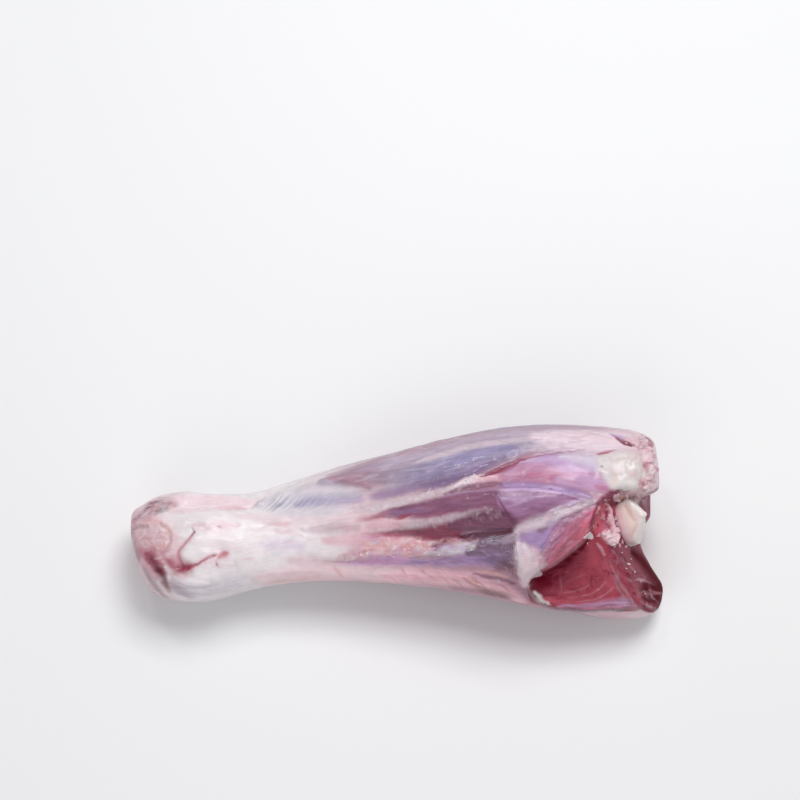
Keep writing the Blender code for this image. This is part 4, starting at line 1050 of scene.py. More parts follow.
def soft_creases(bm, angle, crease):
    """Keeps edges that are sharper than this angle partly sharp when the mesh is subdivided."""
    layer = bm.edges.layers.float.new("crease_edge")
    for edge in bm.edges:
        if edge.is_manifold and edge.calc_face_angle() > angle:
            edge[layer] = crease


def triangle_count(mesh):
    """How many triangles the mesh's faces make."""
    return sum(len(polygon.vertices) - 2 for polygon in mesh.polygons)


class Skin:
    """A mesh that strokes and pieces are cast on, with the leg's section along X."""

    def __init__(self, mesh):
        self.mesh = mesh
        self.points = mesh_points(mesh)
        self.faces = [tuple(polygon.vertices) for polygon in mesh.polygons]
        self.tree = BVHTree.FromPolygons(self.points.tolist(), self.faces)
        x = self.points[:, 0]
        rows = []
        for middle in np.arange(x.min(), x.max() - 2 * MM, SECTION_STEP) + SECTION_STEP / 2:
            near = self.points[np.abs(x - middle) < SECTION_REACH]
            low, high = near.min(axis=0), near.max(axis=0)
            rows.append((middle, *((low + high) / 2)[1:], *((high - low) / 2)[1:]))
        self.sections = np.array(rows)

    def section(self, x):
        """The middle and the half size across and in height of the leg at these x."""
        return [np.interp(x, self.sections[:, 0], self.sections[:, i]) for i in range(1, 5)]

    def struck(self, px, py):
        """The skin under a pixel of the photograph: its point, its normal and its face."""
        ray = (UPRIGHT * (PHOTO_SIDE / 2 - py) + Vector((px - PHOTO_SIDE / 2, 0, 0))) * PIXEL_SLOPE - BACK
        ray.normalize()
        spot, normal, face, _ = self.tree.ray_cast(EYE, ray)
        if spot is None:
            spot, normal, face, _ = self.tree.find_nearest(EYE + ray * (AIM - EYE).dot(ray))
        return spot, normal, face

    def seen(self, px, py):
        """The skin under a pixel of the photograph, and its normal."""
        return self.struck(px, py)[:2]

    def around(self, x, angle):
        """The skin at x mm along the leg, an angle round it, and its normal."""
        y, z, _, _ = self.section(x * MM)
        out = Vector((0, math.sin(math.radians(angle)), math.cos(math.radians(angle))))
        middle = Vector((x * MM, y, z))
        spot, normal, _, _ = self.tree.ray_cast(middle + out * 0.1, -out)
        if spot is None:
            spot, normal, _, _ = self.tree.find_nearest(middle + out * 0.02)
        return spot, normal

    def line(self, points, place, steps=7):
        """A line's points on the skin, with normals and half widths in metres."""
        rows = smooth_rows(points, steps)
        found = [place(row[0], row[1]) for row in rows]
        spots = np.array([spot for spot, _ in found])
        normals = np.array([normal for _, normal in found])
        return spots, normals, np.maximum(rows[:, 2], 0.05) * MM

    def stored(self, name, size, face_indices):
        """What an attribute of the mesh holds at each of these faces."""
        attribute = self.mesh.attributes[name]
        values = np.empty(len(self.points) * size)
        attribute.data.foreach_get("color" if size == 4 else "vector", values)
        values = values.reshape(-1, size)
        return np.array([values[list(self.faces[i])].mean(axis=0) for i in face_indices])


def nearest_on_line(points, spots, normals, widths):
    """For each point: its distance in half widths, how far it is along the line and to its side, and the
    line's normal.
    """
    best = np.full(len(points), 1e9)
    along = np.zeros(len(points))
    side = np.zeros(len(points))
    facing = np.zeros((len(points), 3))
    run = 0.0
    for i in range(len(spots) - 1):
        step = spots[i + 1] - spots[i]
        length = np.linalg.norm(step)
        if length < 1e-7:
            continue
        apart = points - spots[i]
        t = np.clip(apart @ step / length**2, 0, 1)
        away = apart - t[:, None] * step
        width = widths[i] + t * (widths[i + 1] - widths[i])
        distance = np.linalg.norm(away, axis=1)
        closer = distance / width < best
        best[closer] = (distance / width)[closer]
        along[closer] = run + t[closer] * length
        sideways = np.cross(step / length, normals[i])
        side[closer] = (away @ sideways)[closer]
        facing[closer] = normals[i]
        run += length
    return best, along, side, facing


class Paint:
    """Colours, finish and relief at the points of a skin, built up stroke by stroke."""

    def __init__(self, skin, settings, colours, base):
        self.skin = skin
        self.points = skin.points
        self.normals = mesh_normals(skin.mesh)
        self.colours = colours
        self.seed = settings.seed
        wander = [soft_noise(self.points, WANDER, self.seed + i) for i in range(3)]
        ripple = [soft_noise(self.points, RIPPLE, self.seed + 10 + i) for i in range(3)]
        self.warp = (WANDER_REACH * np.array(wander).T + RIPPLE_REACH * np.array(ripple).T) * MM
        grains = soft_noise(self.points, COARSE_GRAIN, self.seed + 20)
        grains += FINE_SHARE * soft_noise(self.points, FINE_GRAIN, self.seed + 21)
        self.gaps = 1 - smoothstep(-0.45, 0.25, grains)
        swell = SWELL_HEIGHT * soft_noise(self.points, SWELL, self.seed + 30)
        swell += BUMPS_HEIGHT * soft_noise(self.points, BUMPS, self.seed + 31)
        self.relief = swell * MM
        stops = np.array([x for x, _ in base]) * MM
        shown = self.points[:, 0] + self.warp[:, 0] * 6
        tints = np.array([getattr(colours, name)[:] for _, name in base])
        finish = np.array([FINISH[name] for _, name in base])
        self.tint = np.array([np.interp(shown, stops, tints[:, i]) for i in range(3)]).T
        self.traits = np.array([np.interp(shown, stops, finish[:, i]) for i in range(4)]).T

    def on_face(self, corners):
        """How far each point belongs to one face of the cut, from 0 to 1."""
        first, second, third = (np.array(corner) * MM for corner in corners)
        out = np.cross(second - first, third - first)
        out /= np.linalg.norm(out)
        apart = np.abs((self.points - first) @ out)
        facing = np.abs(self.normals @ out)
        past = smoothstep(CUT_START, CUT_START + 2 * MM, self.points[:, 0])
        edge = np.array(CUT_EDGE) * MM
        below = 1 - smoothstep(0, 2 * MM, self.points[:, 1] - np.interp(self.points[:, 0], *edge.T))
        return (1 - smoothstep(0.9 * MM, 1.8 * MM, apart)) * smoothstep(0.6, 0.8, facing) * past * below

    def in_hollows(self):
        """How far each point belongs to the hollows round the joint, from 0 to 1."""
        found = np.zeros(len(self.points))
        for centre, radii, squareness, turn in HOLLOWS:
            apart = self.points / MM - centre
            c, s = math.cos(math.radians(turn)), math.sin(math.radians(turn))
            along, across, up = apart.T
            turned = np.column_stack([along * c + across * s, across * c - along * s, up])
            depth = (1 - (np.abs(turned / radii) ** squareness).sum(axis=1) ** (1 / squareness)) * min(radii)
            found = np.maximum(found, smoothstep(-1.6, -0.3, depth + 0.9 * self.warp[:, 0] / MM))
        return found

    def fill(self, share, tissue_name):
        """Blends one tissue over a whole region."""
        share = share[:, None]
        self.tint += (np.array(getattr(self.colours, tissue_name)[:]) - self.tint) * share
        self.traits += (np.array(FINISH[tissue_name]) - self.traits) * share

    def lay(self, stroke, place, region=1.0):
        """Blends one stroke over what is there, inside a region."""
        spots, normals, widths = self.skin.line(stroke.points, place)
        steps = np.linalg.norm(np.diff(spots, axis=0), axis=1)
        runs = np.concatenate([[0], np.cumsum(steps)])
        thinness = np.minimum(widths / THINNEST, 1)
        widths = np.maximum(widths, THINNEST)
        reach = widths.max() * (1 + stroke.soft) + 2 * MM
        low, high = spots.min(axis=0) - reach, spots.max(axis=0) + reach
        near = np.flatnonzero(((self.points > low) & (self.points < high)).all(axis=1))
        where = self.points[near] + self.warp[near] * stroke.ragged
        ratio, along, side, facing = nearest_on_line(where, spots, normals, widths)
        cover = 1 - smoothstep(1 - stroke.soft, 1 + stroke.soft, ratio)
        cover *= smoothstep(-0.1, 0.45, (facing * self.normals[near]).sum(axis=1))
        cover *= np.broadcast_to(region, len(self.points))[near]
        cover *= 1 - stroke.grainy * self.gaps[near]
        cover *= np.interp(along, runs, thinness)
        for length, gone in zip(stroke.fade, (along, runs[-1] - along)):
            if length:
                cover *= smoothstep(0, length * MM, gone)
        kept = cover > 0.002
        near, cover, along, side = near[kept], cover[kept], along[kept], side[kept]
        shade = np.full(len(near), stroke.tone)
        if stroke.streaks:
            grain = np.column_stack([along / 9, side, side * 0])
            lines = soft_noise(grain, 0.8 * MM, self.seed + 3)
            lines += 0.6 * soft_noise(grain, 1.9 * MM, self.seed + 4)
            shade *= 1 + stroke.streaks * lines
        share = (cover * stroke.strength)[:, None]
        colour = np.array(getattr(self.colours, stroke.tissue)[:]) * shade[:, None]
        self.tint[near] += (colour - self.tint[near]) * share
        self.traits[near] += (np.array(FINISH[stroke.tissue]) - self.traits[near]) * share
        self.relief[near] += cover * stroke.relief * MM

    def finish(self, strength, sheen):
        """Moves the mesh's points by the relief and stores what the shader reads."""
        mesh = self.skin.mesh
        moved = self.points + self.normals * (self.relief * strength)[:, None]
        moved[:, 2] = np.maximum(moved[:, 2], 0)
        mesh.vertices.foreach_set("co", moved.ravel())
        y, z, across, height = self.skin.section(self.points[:, 0])
        rounded_y = (self.points[:, 1] - y) / across * GRAIN_RADII[0]
        rounded_z = (self.points[:, 2] - z) / height * GRAIN_RADII[1]
        tint = np.clip(self.tint - sheen, 0.002, 1)
        set_attribute(mesh, "tint", "FLOAT_COLOR", np.column_stack([tint, self.traits[:, 3]]))
        set_attribute(mesh, "traits", "FLOAT_VECTOR", self.traits[:, :3])
        along = np.column_stack([self.points[:, 0], rounded_y, rounded_z])
        set_attribute(mesh, "grain", "FLOAT_VECTOR", along)
        mesh.shade_smooth()
        mesh.update()


def set_attribute(mesh, name, kind, values):
    """Stores one value for each of the mesh's points."""
    attribute = mesh.attributes.new(name, kind, "POINT")
    field = "color" if kind == "FLOAT_COLOR" else "vector"
    attribute.data.foreach_set(field, np.ascontiguousarray(values, dtype=np.float32).ravel())


def even_grid(piece, spacing, smoothing):
    """Gives the piece's skin an even grid and smooths it."""
    grid = piece.modifiers.new("Even grid", "REMESH")
    grid.mode = "VOXEL"
    grid.voxel_size = spacing
    smooth = piece.modifiers.new("Smooth", "SMOOTH")
    smooth.factor = 0.5
    smooth.iterations = smoothing
    return settled_mesh(piece)


def thin_far_side(piece, triangles):
    """Thins the skin that the photograph doesn't show, until the piece has about so many triangles."""
    mesh = piece.data
    shown = mesh_normals(mesh) @ np.array(BACK)
    group = piece.vertex_groups.new(name="far_side")
    group.add(np.flatnonzero(shown < FACING_LEAST).tolist(), 1.0, "REPLACE")
    thin = piece.modifiers.new("Thin far side", "DECIMATE")
    thin.ratio = min(1.0, triangles / triangle_count(mesh))
    thin.vertex_group = group.name
    settled_mesh(piece)
    piece.vertex_groups.clear()


def leg_skin(settings):
    """The meat's form with its facets smoothed, on an even grid, and its bed filled but for the mouth."""
    bm = merged_copy(MEAT_NODE)
    soft_creases(bm, math.radians(40), 0.7)
    piece = new_piece("shank_body", mesh_from(bm, "shank_body"))
    round_off = piece.modifiers.new("Round off", "SUBSURF")
    round_off.levels = round_off.render_levels = 2
    mesh = settled_mesh(piece)
    bm = bmesh.new()
    bm.from_mesh(mesh)
    filler = merged_copy(BONE_NODE)
    for vert in filler.verts:
        vert.co += vert.normal * FILLER_GROWTH
    whole = [*filler.verts, *filler.edges, *filler.faces]
    cut = bmesh.ops.bisect_plane(
        filler, geom=whole, plane_co=(BED_MOUTH, 0, 0), plane_no=(1, 0, 0), clear_outer=True
    )
    rim = [item for item in cut["geom_cut"] if isinstance(item, bmesh.types.BMEdge)]
    bmesh.ops.holes_fill(filler, edges=rim)
    bm.from_mesh(mesh_from(filler, "bed_filler"))
    bm.to_mesh(mesh)
    bm.free()
    even_grid(piece, settings.grid, settings.smoothing)
    thin_far_side(piece, settings.triangles)
    return piece


def fan_stripes():
    """The slate stripes of the tendon's fan, with others laid between each two."""
    share = np.linspace(0, 1, (len(FAN_STRIPES) - 1) * (STRIPES_BETWEEN + 1) + 1)
    rows = np.array(FAN_STRIPES, float)
    stops = np.linspace(0, 1, len(FAN_STRIPES))
    uneven = np.random.default_rng(3)
    for at in share:
        x0, y0, x1, y1 = (np.interp(at, stops, rows[:, i]) + uneven.uniform(-1.2, 1.2) for i in range(4))
        width = STRIPE_HALF_WIDTH * uneven.uniform(0.5, 1.2)
        middle = ((x0 + x1) / 2 + 0.8, (y0 + y1) / 2 + 0.8, width)
        points = ((x0, y0, 0.4 * width), middle, (x1, y1, 0.3 * width))
        strength, tone = uneven.uniform(0.3, 0.75), uneven.uniform(0.9, 1.15)
        yield Stroke("stripe_slate", points, strength, tone, 0.7, -0.12, 0.3)


def edge_streaks():
    """Slanting streaks of fat and blood over the shin's edge."""
    uneven = np.random.default_rng(5)
    for i in range(EDGE_STREAKS):
        x = EDGE_STREAK_START[0] + i * EDGE_STREAK_STEP[0] + uneven.uniform(-3, 3)
        y = EDGE_STREAK_START[1] + i * EDGE_STREAK_STEP[1] + uneven.uniform(-2, 2)
        run = [length * uneven.uniform(0.6, 1.2) for length in EDGE_STREAK_RUN]
        points = ((x, y, 0.2), (x + run[0] * 0.5, y + run[1] * 0.45, 0.6), (x + run[0], y + run[1], 0.2))
        colour = "fat_orange" if i % 3 else "meat_red"
        yield Stroke(colour, points, uneven.uniform(0.25, 0.5), 1.05, 0.9, 0.1, 0.6)


def strewn(fields, seed):
    """The strokes of every field of flecks."""
    uneven = np.random.default_rng(seed)
    for flecks in fields.values():
        rows = smooth_rows(flecks.points, 12)
        runs = np.gradient(rows[:, :2], axis=0)
        for _ in range(flecks.count):
            at = uneven.integers(len(rows))
            angle = math.atan2(runs[at, 1], runs[at, 0])
            shift = uneven.uniform(-1, 1) * rows[at, 2] / PIXEL
            middle = rows[at, :2] + shift * np.array((-math.sin(angle), math.cos(angle)))
            angle += math.radians(flecks.turn + uneven.normal(0, flecks.stray))
            run = uneven.uniform(*flecks.length) / PIXEL / 2 * np.array((math.cos(angle), math.sin(angle)))
            bend = uneven.normal(0, 0.15) * np.array((-run[1], run[0]))
            width = uneven.uniform(*flecks.width)
            start, end = middle - run, middle + run
            points = ((*start, 0.4 * width), (*(middle + bend), width), (*end, 0.4 * width))
            colour = flecks.tissues[uneven.integers(len(flecks.tissues))]
            strength, tone = uneven.uniform(*flecks.strength), uneven.uniform(0.92, 1.08)
            yield Stroke(colour, points, strength, tone, 0.7, uneven.uniform(-0.3, 1) * flecks.relief, 0.6)


def specks():
    """Small dark specks on the skin."""
    for x, y, width in SPECKS:
        yield Stroke("crease", ((x - 0.3, y, width), (x + 0.3, y, width)), 0.6, 1.1, 0.8)


def seen_strokes():
    """Every stroke that the photograph shows outside the cut and the hollows, in their order."""
    for part in (SHAFT, FAN):
        yield from part.values()
    yield from fan_stripes()
    for part in (CALF, SEAM_BAND, PINK_MUSCLE, SHIN_MUSCLE, FRONT):
        yield from part.values()
    yield from edge_streaks()
    for part in (SHEET, JOINT_END, KNUCKLE):
        yield from part.values()
    yield from strewn(FLECKS, 11)
    yield from specks()


def paint_leg(piece, settings, colours):
    """Lays every stroke on the leg."""
    skin = Skin(piece.data)
    paint = Paint(skin, settings, colours, LEG_TINTS)
    for stroke in HIDDEN.values():
        paint.lay(stroke._replace(fade=HIDDEN_FADE, ragged=1.4), skin.around)
    shown = smoothstep(*SHOWN_FROM, paint.normals @ np.array(BACK))
    for stroke in seen_strokes():
        paint.lay(stroke, skin.seen, shown)
    for stroke in WALL.values():
        paint.lay(stroke, skin.seen)
    near_face, end_face = (paint.on_face(corners) for corners in CUT_FACES.values())
    hollow = paint.in_hollows()
    paint.fill(hollow, "meat_red")
    # The near face takes the lit cut colour and the end face the shaded one, as painted light and shade.
    paint.fill(near_face, "cut_bright")
    paint.fill(end_face, "cut_dull")
    cut_faces = np.maximum(near_face, end_face)
    for stroke in (*CUT.values(), *strewn(CUT_FLECKS, 12)):
        paint.lay(stroke, skin.seen, cut_faces)
    for stroke in (*strewn(RECESS_FLECKS, 13), *RECESS.values()):
        paint.lay(stroke, skin.seen, hollow)
    for stroke in RIM.values():
        paint.lay(stroke, skin.seen)
    paint.finish(settings.relief, settings.sheen)


# The range that most of a noise pattern's values lie in.
MOST = {"From Min": 0.3, "From Max": 0.7}


def raw_meat():
    """Raw lamb in its silverskin: moist, slightly see-through, with fine fibres along the leg."""
    material, tree, shader = new_material("raw_lamb_under_silverskin")
    tint, traits, grain = (
        add_node(tree, "ShaderNodeAttribute", attribute_name=name) for name in ("tint", "traits", "grain")
    )
    place = add_node(tree, "ShaderNodeTexCoord").outputs["Object"]
    trait = add_node(tree, "ShaderNodeSeparateXYZ", {0: traits.outputs["Vector"]}).outputs
    # Fibres are drawn about 0.7 mm across and 6 mm long, coarser than real ones, so that they show.
    along = {"Vector": grain.outputs["Vector"], "Scale": (160, 1500, 1500)}
    stretched = add_node(tree, "ShaderNodeMapping", along)
    fibres = add_node(tree, "ShaderNodeTexNoise", {"Vector": stretched, "Scale": 1.0, "Detail": 3.0})
    # Blotches about 4 mm across, grains of fat of 1.6 mm and wrinkles of 1.3 mm.
    mottle = add_node(tree, "ShaderNodeTexNoise", {"Vector": place, "Scale": 260.0, "Detail": 4.0})
    lumps = add_node(tree, "ShaderNodeTexVoronoi", {"Vector": place, "Scale": 620.0})
    wrinkles = add_node(tree, "ShaderNodeTexNoise", {"Vector": place, "Scale": 750.0, "Detail": 2.0})
    gain = add_node(tree, "ShaderNodeMapRange", {"Value": fibres, **MOST, "To Min": -0.22, "To Max": 0.22})
    blotches = add_node(tree, "ShaderNodeMapRange", {"Value": mottle, **MOST, "To Min": 0.94, "To Max": 1.06})
    fibre_shade = add_node(tree, "ShaderNodeMath", {0: gain, 1: trait["Y"], 2: 1.0}, operation="MULTIPLY_ADD")
    shade = add_node(tree, "ShaderNodeMath", {0: fibre_shade, 1: blotches}, operation="MULTIPLY")
    rough = add_node(tree, "ShaderNodeMath", {0: mottle, 1: 0.16, 2: trait["X"]}, operation="MULTIPLY_ADD")
    fibre_height = add_node(tree, "ShaderNodeMath", {0: fibres, 1: trait["Y"]}, operation="MULTIPLY")
    lump_height = add_node(tree, "ShaderNodeMath", {0: lumps, 1: trait["Z"]}, operation="MULTIPLY")
    folds = add_node(tree, "ShaderNodeMath", {0: wrinkles, 1: 0.45, 2: lump_height}, operation="MULTIPLY_ADD")
    height = add_node(tree, "ShaderNodeMath", {0: fibre_height, 1: folds}, operation="ADD")
    wetness = tint.outputs["Alpha"]
    plug(shader, {
        "Base Color": add_node(tree, "ShaderNodeVectorMath", {0: tint, "Scale": shade}, operation="SCALE"),
        "Roughness": add_node(tree, "ShaderNodeMath", {0: rough, 1: 0.15}, operation="SUBTRACT"),
        "Normal": add_node(
            tree, "ShaderNodeBump", {"Height": height, "Strength": 0.6, "Distance": 0.25 * MM}
        ),
        "Specular IOR Level": wetness,
        "Coat Weight": add_node(tree, "ShaderNodeMath", {0: wetness, 1: 0.7}, operation="MULTIPLY"),
        "IOR": 1.38,
        "Coat Roughness": 0.1,
        "Subsurface Weight": 0.12,
        "Subsurface Radius": (1.0, 0.45, 0.4),
        "Subsurface Scale": 1.5 * MM,
    })
    return material


def wet_cartilage():
    """Cartilage over fresh bone: cream, smooth and wet, with a faint waxy glow."""
    material, tree, shader = new_material("wet_cartilage")
    tint = add_node(tree, "ShaderNodeAttribute", attribute_name="tint")
    place = add_node(tree, "ShaderNodeTexCoord").outputs["Object"]
    # Clouds about 7 mm across.
    clouds = add_node(tree, "ShaderNodeTexNoise", {"Vector": place, "Scale": 140.0, "Detail": 4.0})
    shade = add_node(tree, "ShaderNodeMapRange", {"Value": clouds, **MOST, "To Min": 0.88, "To Max": 1.08})
    plug(shader, {
        "Base Color": add_node(tree, "ShaderNodeVectorMath", {0: tint, "Scale": shade}, operation="SCALE"),
        "Normal": add_node(tree, "ShaderNodeBump", {"Height": clouds, "Strength": 0.4, "Distance": 0.3 * MM}),
        "Roughness": 0.32,
        "IOR": 1.4,
        "Coat Weight": 0.4,
        "Coat Roughness": 0.12,
        "Subsurface Weight": 0.2,
        "Subsurface Radius": (1.0, 0.7, 0.5),
        "Subsurface Scale": 2.0 * MM,
    })
    return material


def juice_with_painted_glint():
    """Drops of juice and melted fat: milky pink to near white, the pale colour a painted highlight, with a
    sharp highlight from their gloss.
    """
    material, tree, shader = new_material("juice_with_painted_glint")
    place = add_node(tree, "ShaderNodeTexCoord").outputs["Object"]
    depth = add_node(tree, "ShaderNodeTexNoise", {"Vector": place, "Scale": 900.0})
    ramp = add_node(tree, "ShaderNodeValToRGB", {"Fac": depth})
    # The pale end of the ramp stands in for a glint, as a painted highlight.
    for stop, code in zip(ramp.color_ramp.elements, ("#d9a3ad", "#f6e9ec")):
        stop.color = (*linear(code), 1)
    plug(shader, {
        "Base Color": ramp,
        "Roughness": 0.08,
        "IOR": 1.45,
        "Subsurface Weight": 0.3,
        "Subsurface Radius": (1.0, 0.5, 0.5),
        "Subsurface Scale": 0.5 * MM,
    })
    return material


def matt_floor(colour):
    """Painted board: an even matt ground."""
    material, tree, shader = new_material("painted_board")
    place = add_node(tree, "ShaderNodeTexCoord").outputs["Object"]
    # Brush grain about 3 mm across.
    grain = add_node(tree, "ShaderNodeTexNoise", {"Vector": place, "Scale": 300.0, "Detail": 2.0})
    bump = add_node(tree, "ShaderNodeBump", {"Height": grain, "Strength": 0.05, "Distance": 0.1 * MM})
    plug(shader, {"Base Color": (*colour, 1), "Roughness": 0.7, "Normal": bump})
    return material


def hand_over(piece, slot, *nodes):
    """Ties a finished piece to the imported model."""
    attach(piece, "root")
    if nodes:
        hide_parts(*nodes)


def painted_body():
    """The painted leg, which the loose bits lie on, and its material."""
    body = bpy.data.objects.get("shank_body")
    if body is None:
        raise RuntimeError("make the meat first, because the loose bits lie on it")
    return Skin(body.data), body.data.materials[0]


def carry_looks(mesh, skin, face_indices, colour, share):
    """Gives the points of a loose bit the looks of the faces they lie on, partly turned to a colour."""
    tints = skin.stored("tint", 4, face_indices)
    tints[:, :3] += (np.array(colour[:]) - tints[:, :3]) * share
    set_attribute(mesh, "tint", "FLOAT_COLOR", tints)
    set_attribute(mesh, "traits", "FLOAT_VECTOR", skin.stored("traits", 3, face_indices))
    set_attribute(mesh, "grain", "FLOAT_VECTOR", skin.stored("grain", 3, face_indices))


def inside_outline(points, outline):
    """Which of the flat points lie inside a closed outline."""
    ends = np.roll(outline, -1, axis=0)
    inside = np.zeros(len(points), bool)
    for (x0, y0), (x1, y1) in zip(outline, ends):
        if y0 == y1:
            continue
        crosses = (points[:, 1] < y0) != (points[:, 1] < y1)
        left = points[:, 0] < x0 + (points[:, 1] - y0) / (y1 - y0) * (x1 - x0)
        inside ^= crosses & left
    return inside


def outline_distance(points, outline):
    """How far each flat point is from a closed outline."""
    best = np.full(len(points), 1e9)
    for start, end in zip(outline, np.roll(outline, -1, axis=0)):
        run = end - start
        t = np.clip((points - start) @ run / (run @ run), 0, 1)
        best = np.minimum(best, np.linalg.norm(points - start - t[:, None] * run, axis=1))
    return best


def add_torn_skin(bm, skin, torn, seed):
    """Adds one torn skin to a bmesh as a thin closed shell, and returns the body's face under each point, and
    its own tissue's share there.
    """
    uneven = np.random.default_rng(seed)
    outline = smooth_rows(torn.outline, 4, closed=True)
    outline += uneven.normal(0, 0.4, outline.shape)
    low, high = outline.min(axis=0), outline.max(axis=0)
    across, down = np.meshgrid(*(np.arange(low[i], high[i], TORN_SPACING) for i in (0, 1)))
    across[1::2] += TORN_SPACING / 2
    grid = np.column_stack([across.ravel(), down.ravel()])
    grid = grid[inside_outline(grid, outline)]
    grid = grid[outline_distance(grid, outline) > 0.55 * TORN_SPACING]
    flat = [Vector(p) for p in np.vstack([outline, grid])]
    flat, _, faces, *_ = delaunay_2d_cdt(flat, [], [list(range(len(outline)))], 1, 1e-5)
    pixels = np.array(flat)
    depth = outline_distance(pixels, outline)
    struck = [skin.struck(*pixel) for pixel in pixels]
    spots = np.array([spot for spot, _, _ in struck])
    normals = np.array([normal for _, normal, _ in struck])
    waves = soft_noise(np.column_stack([pixels, pixels[:, 0] * 0]), 7.0, seed) * 0.5 + 0.5
    edge = 1 - smoothstep(0, 4.5, depth)
    height = (torn.lift + torn.curl * edge * waves**3 - TORN_ROOT) * MM
    thick = TORN_THICKNESS * (0.7 + 0.3 * smoothstep(0, 2.5, depth)) * MM
    out = normals * 0.5 + np.array(BACK) * 0.5
    out /= np.linalg.norm(out, axis=1)[:, None]
    top = [bm.verts.new(point) for point in spots + out * (height + thick)[:, None]]
    bottom = [bm.verts.new(point) for point in spots + out * height[:, None]]
    sides = {}
    for face in faces:
        bm.faces.new([top[i] for i in face])
        bm.faces.new([bottom[i] for i in reversed(face)])
        for i, j in zip(face, (*face[1:], face[0])):
            sides[(i, j)] = sides.get((i, j), 0) + 1
    for i, j in sides:
        if (j, i) not in sides:
            bm.faces.new((top[j], top[i], bottom[i], bottom[j]))
    under = [face for _, _, face in struck]
    share = np.full(len(pixels), float(torn.share))
    if torn.blend:
        share *= smoothstep(0, torn.blend, pixels[:, 1] - low[1])
    return under + under, [*share, *share]


def new_tree(name, **inputs):
    """A Geometry Nodes tree with named inputs, and its input node's outputs."""
    tree = bpy.data.node_groups.new(name, "GeometryNodeTree")
    for socket, kind in inputs.items():
        tree.interface.new_socket(socket, in_out="INPUT", socket_type=f"NodeSocket{kind}")
    tree.interface.new_socket("Shape", in_out="OUTPUT", socket_type="NodeSocketGeometry")
    return tree, add_node(tree, "NodeGroupInput").outputs


def end_tree(tree, shape, material):
    """Ends a tree with a smooth shape in its material."""
    smooth = add_node(tree, "GeometryNodeSetShadeSmooth", {"Geometry": shape})
    dressed = add_node(tree, "GeometryNodeSetMaterial", {"Geometry": smooth, "Material": material})
    add_node(tree, "NodeGroupOutput", {"Shape": dressed})
    return tree


def lump_tree(material):
    """Geometry Nodes that put an uneven lump on each point, with the point's own size and turn."""
    inputs = {"Points": "Geometry", "Unevenness": "Float", "Grain": "Float", "Sides": "Int"}
    tree, given = new_tree("Lumps on points", **inputs)
    ball = add_node(tree, "GeometryNodeMeshIcoSphere", {"Radius": 1.0, "Subdivisions": given["Sides"]})
    size, turn = (
        add_node(tree, "GeometryNodeInputNamedAttribute", {"Name": name}, data_type="FLOAT_VECTOR")
        for name in ("size", "turn")
    )
    turned = add_node(tree, "FunctionNodeEulerToRotation", {0: turn})
    placed = add_node(
        tree,
        "GeometryNodeInstanceOnPoints",
        {"Points": given["Points"], "Instance": ball, "Rotation": turned, "Scale": size},
    )
    real = add_node(tree, "GeometryNodeRealizeInstances", {"Geometry": placed})
    spot = add_node(tree, "GeometryNodeInputPosition")
    rough = add_node(tree, "ShaderNodeTexNoise", {"Vector": spot, "Scale": given["Grain"], "Detail": 1.0})
    middle = add_node(
        tree, "ShaderNodeVectorMath", {0: rough.outputs["Color"], 1: (0.5, 0.5, 0.5)}, operation="SUBTRACT"
    )
    amount = given["Unevenness"]
    shift = add_node(tree, "ShaderNodeVectorMath", {0: middle, "Scale": amount}, operation="SCALE")
    moved = add_node(tree, "GeometryNodeSetPosition", {"Geometry": real, "Offset": shift})
    return end_tree(tree, moved, material)


def fibre_tree(material):
    """Geometry Nodes that turn lines into thin round fibres with fine ends."""
    tree, given = new_tree("Fibres along lines", Lines="Geometry", Radius="Float", Sides="Int")
    curve = add_node(tree, "GeometryNodeMeshToCurve", {"Mesh": given["Lines"]})
    ring = add_node(
        tree, "GeometryNodeCurvePrimitiveCircle", {"Resolution": given["Sides"], "Radius": given["Radius"]}
    )
    size = add_node(tree, "GeometryNodeInputNamedAttribute", {"Name": "size"}, data_type="FLOAT_VECTOR")
    width = add_node(tree, "ShaderNodeSeparateXYZ", {0: size})
    parts = {"Curve": curve, "Profile Curve": ring, "Scale": width, "Fill Caps": True}
    tube = add_node(tree, "GeometryNodeCurveToMesh", parts)
    return end_tree(tree, add_node(tree, "GeometryNodeRealizeInstances", {"Geometry": tube}), material)


def grown_piece(name, mesh, tree, **values):
    """A piece that a Geometry Nodes tree grows from a mesh, made a plain mesh."""
    piece = new_piece(name, mesh)
    modifier = piece.modifiers.new(tree.name, "NODES")
    modifier.node_group = tree
    for item in tree.interface.items_tree:
        if item.in_out == "INPUT" and item.name in values:
            modifier[item.identifier] = values[item.name]
    grown = settled_mesh(piece)
    for name in ("size", "turn"):
        if name in grown.attributes:
            grown.attributes.remove(grown.attributes[name])
    bm = bmesh.new()
    bm.from_mesh(grown)
    bmesh.ops.recalc_face_normals(bm, faces=bm.faces)
    bm.to_mesh(grown)
    bm.free()
    return piece


def points_mesh(name, points, edges=()):
    """A mesh of bare points, or of lines through them."""
    mesh = bpy.data.meshes.new(name)
    mesh.from_pydata([tuple(point) for point in points], list(edges), [])
    return mesh


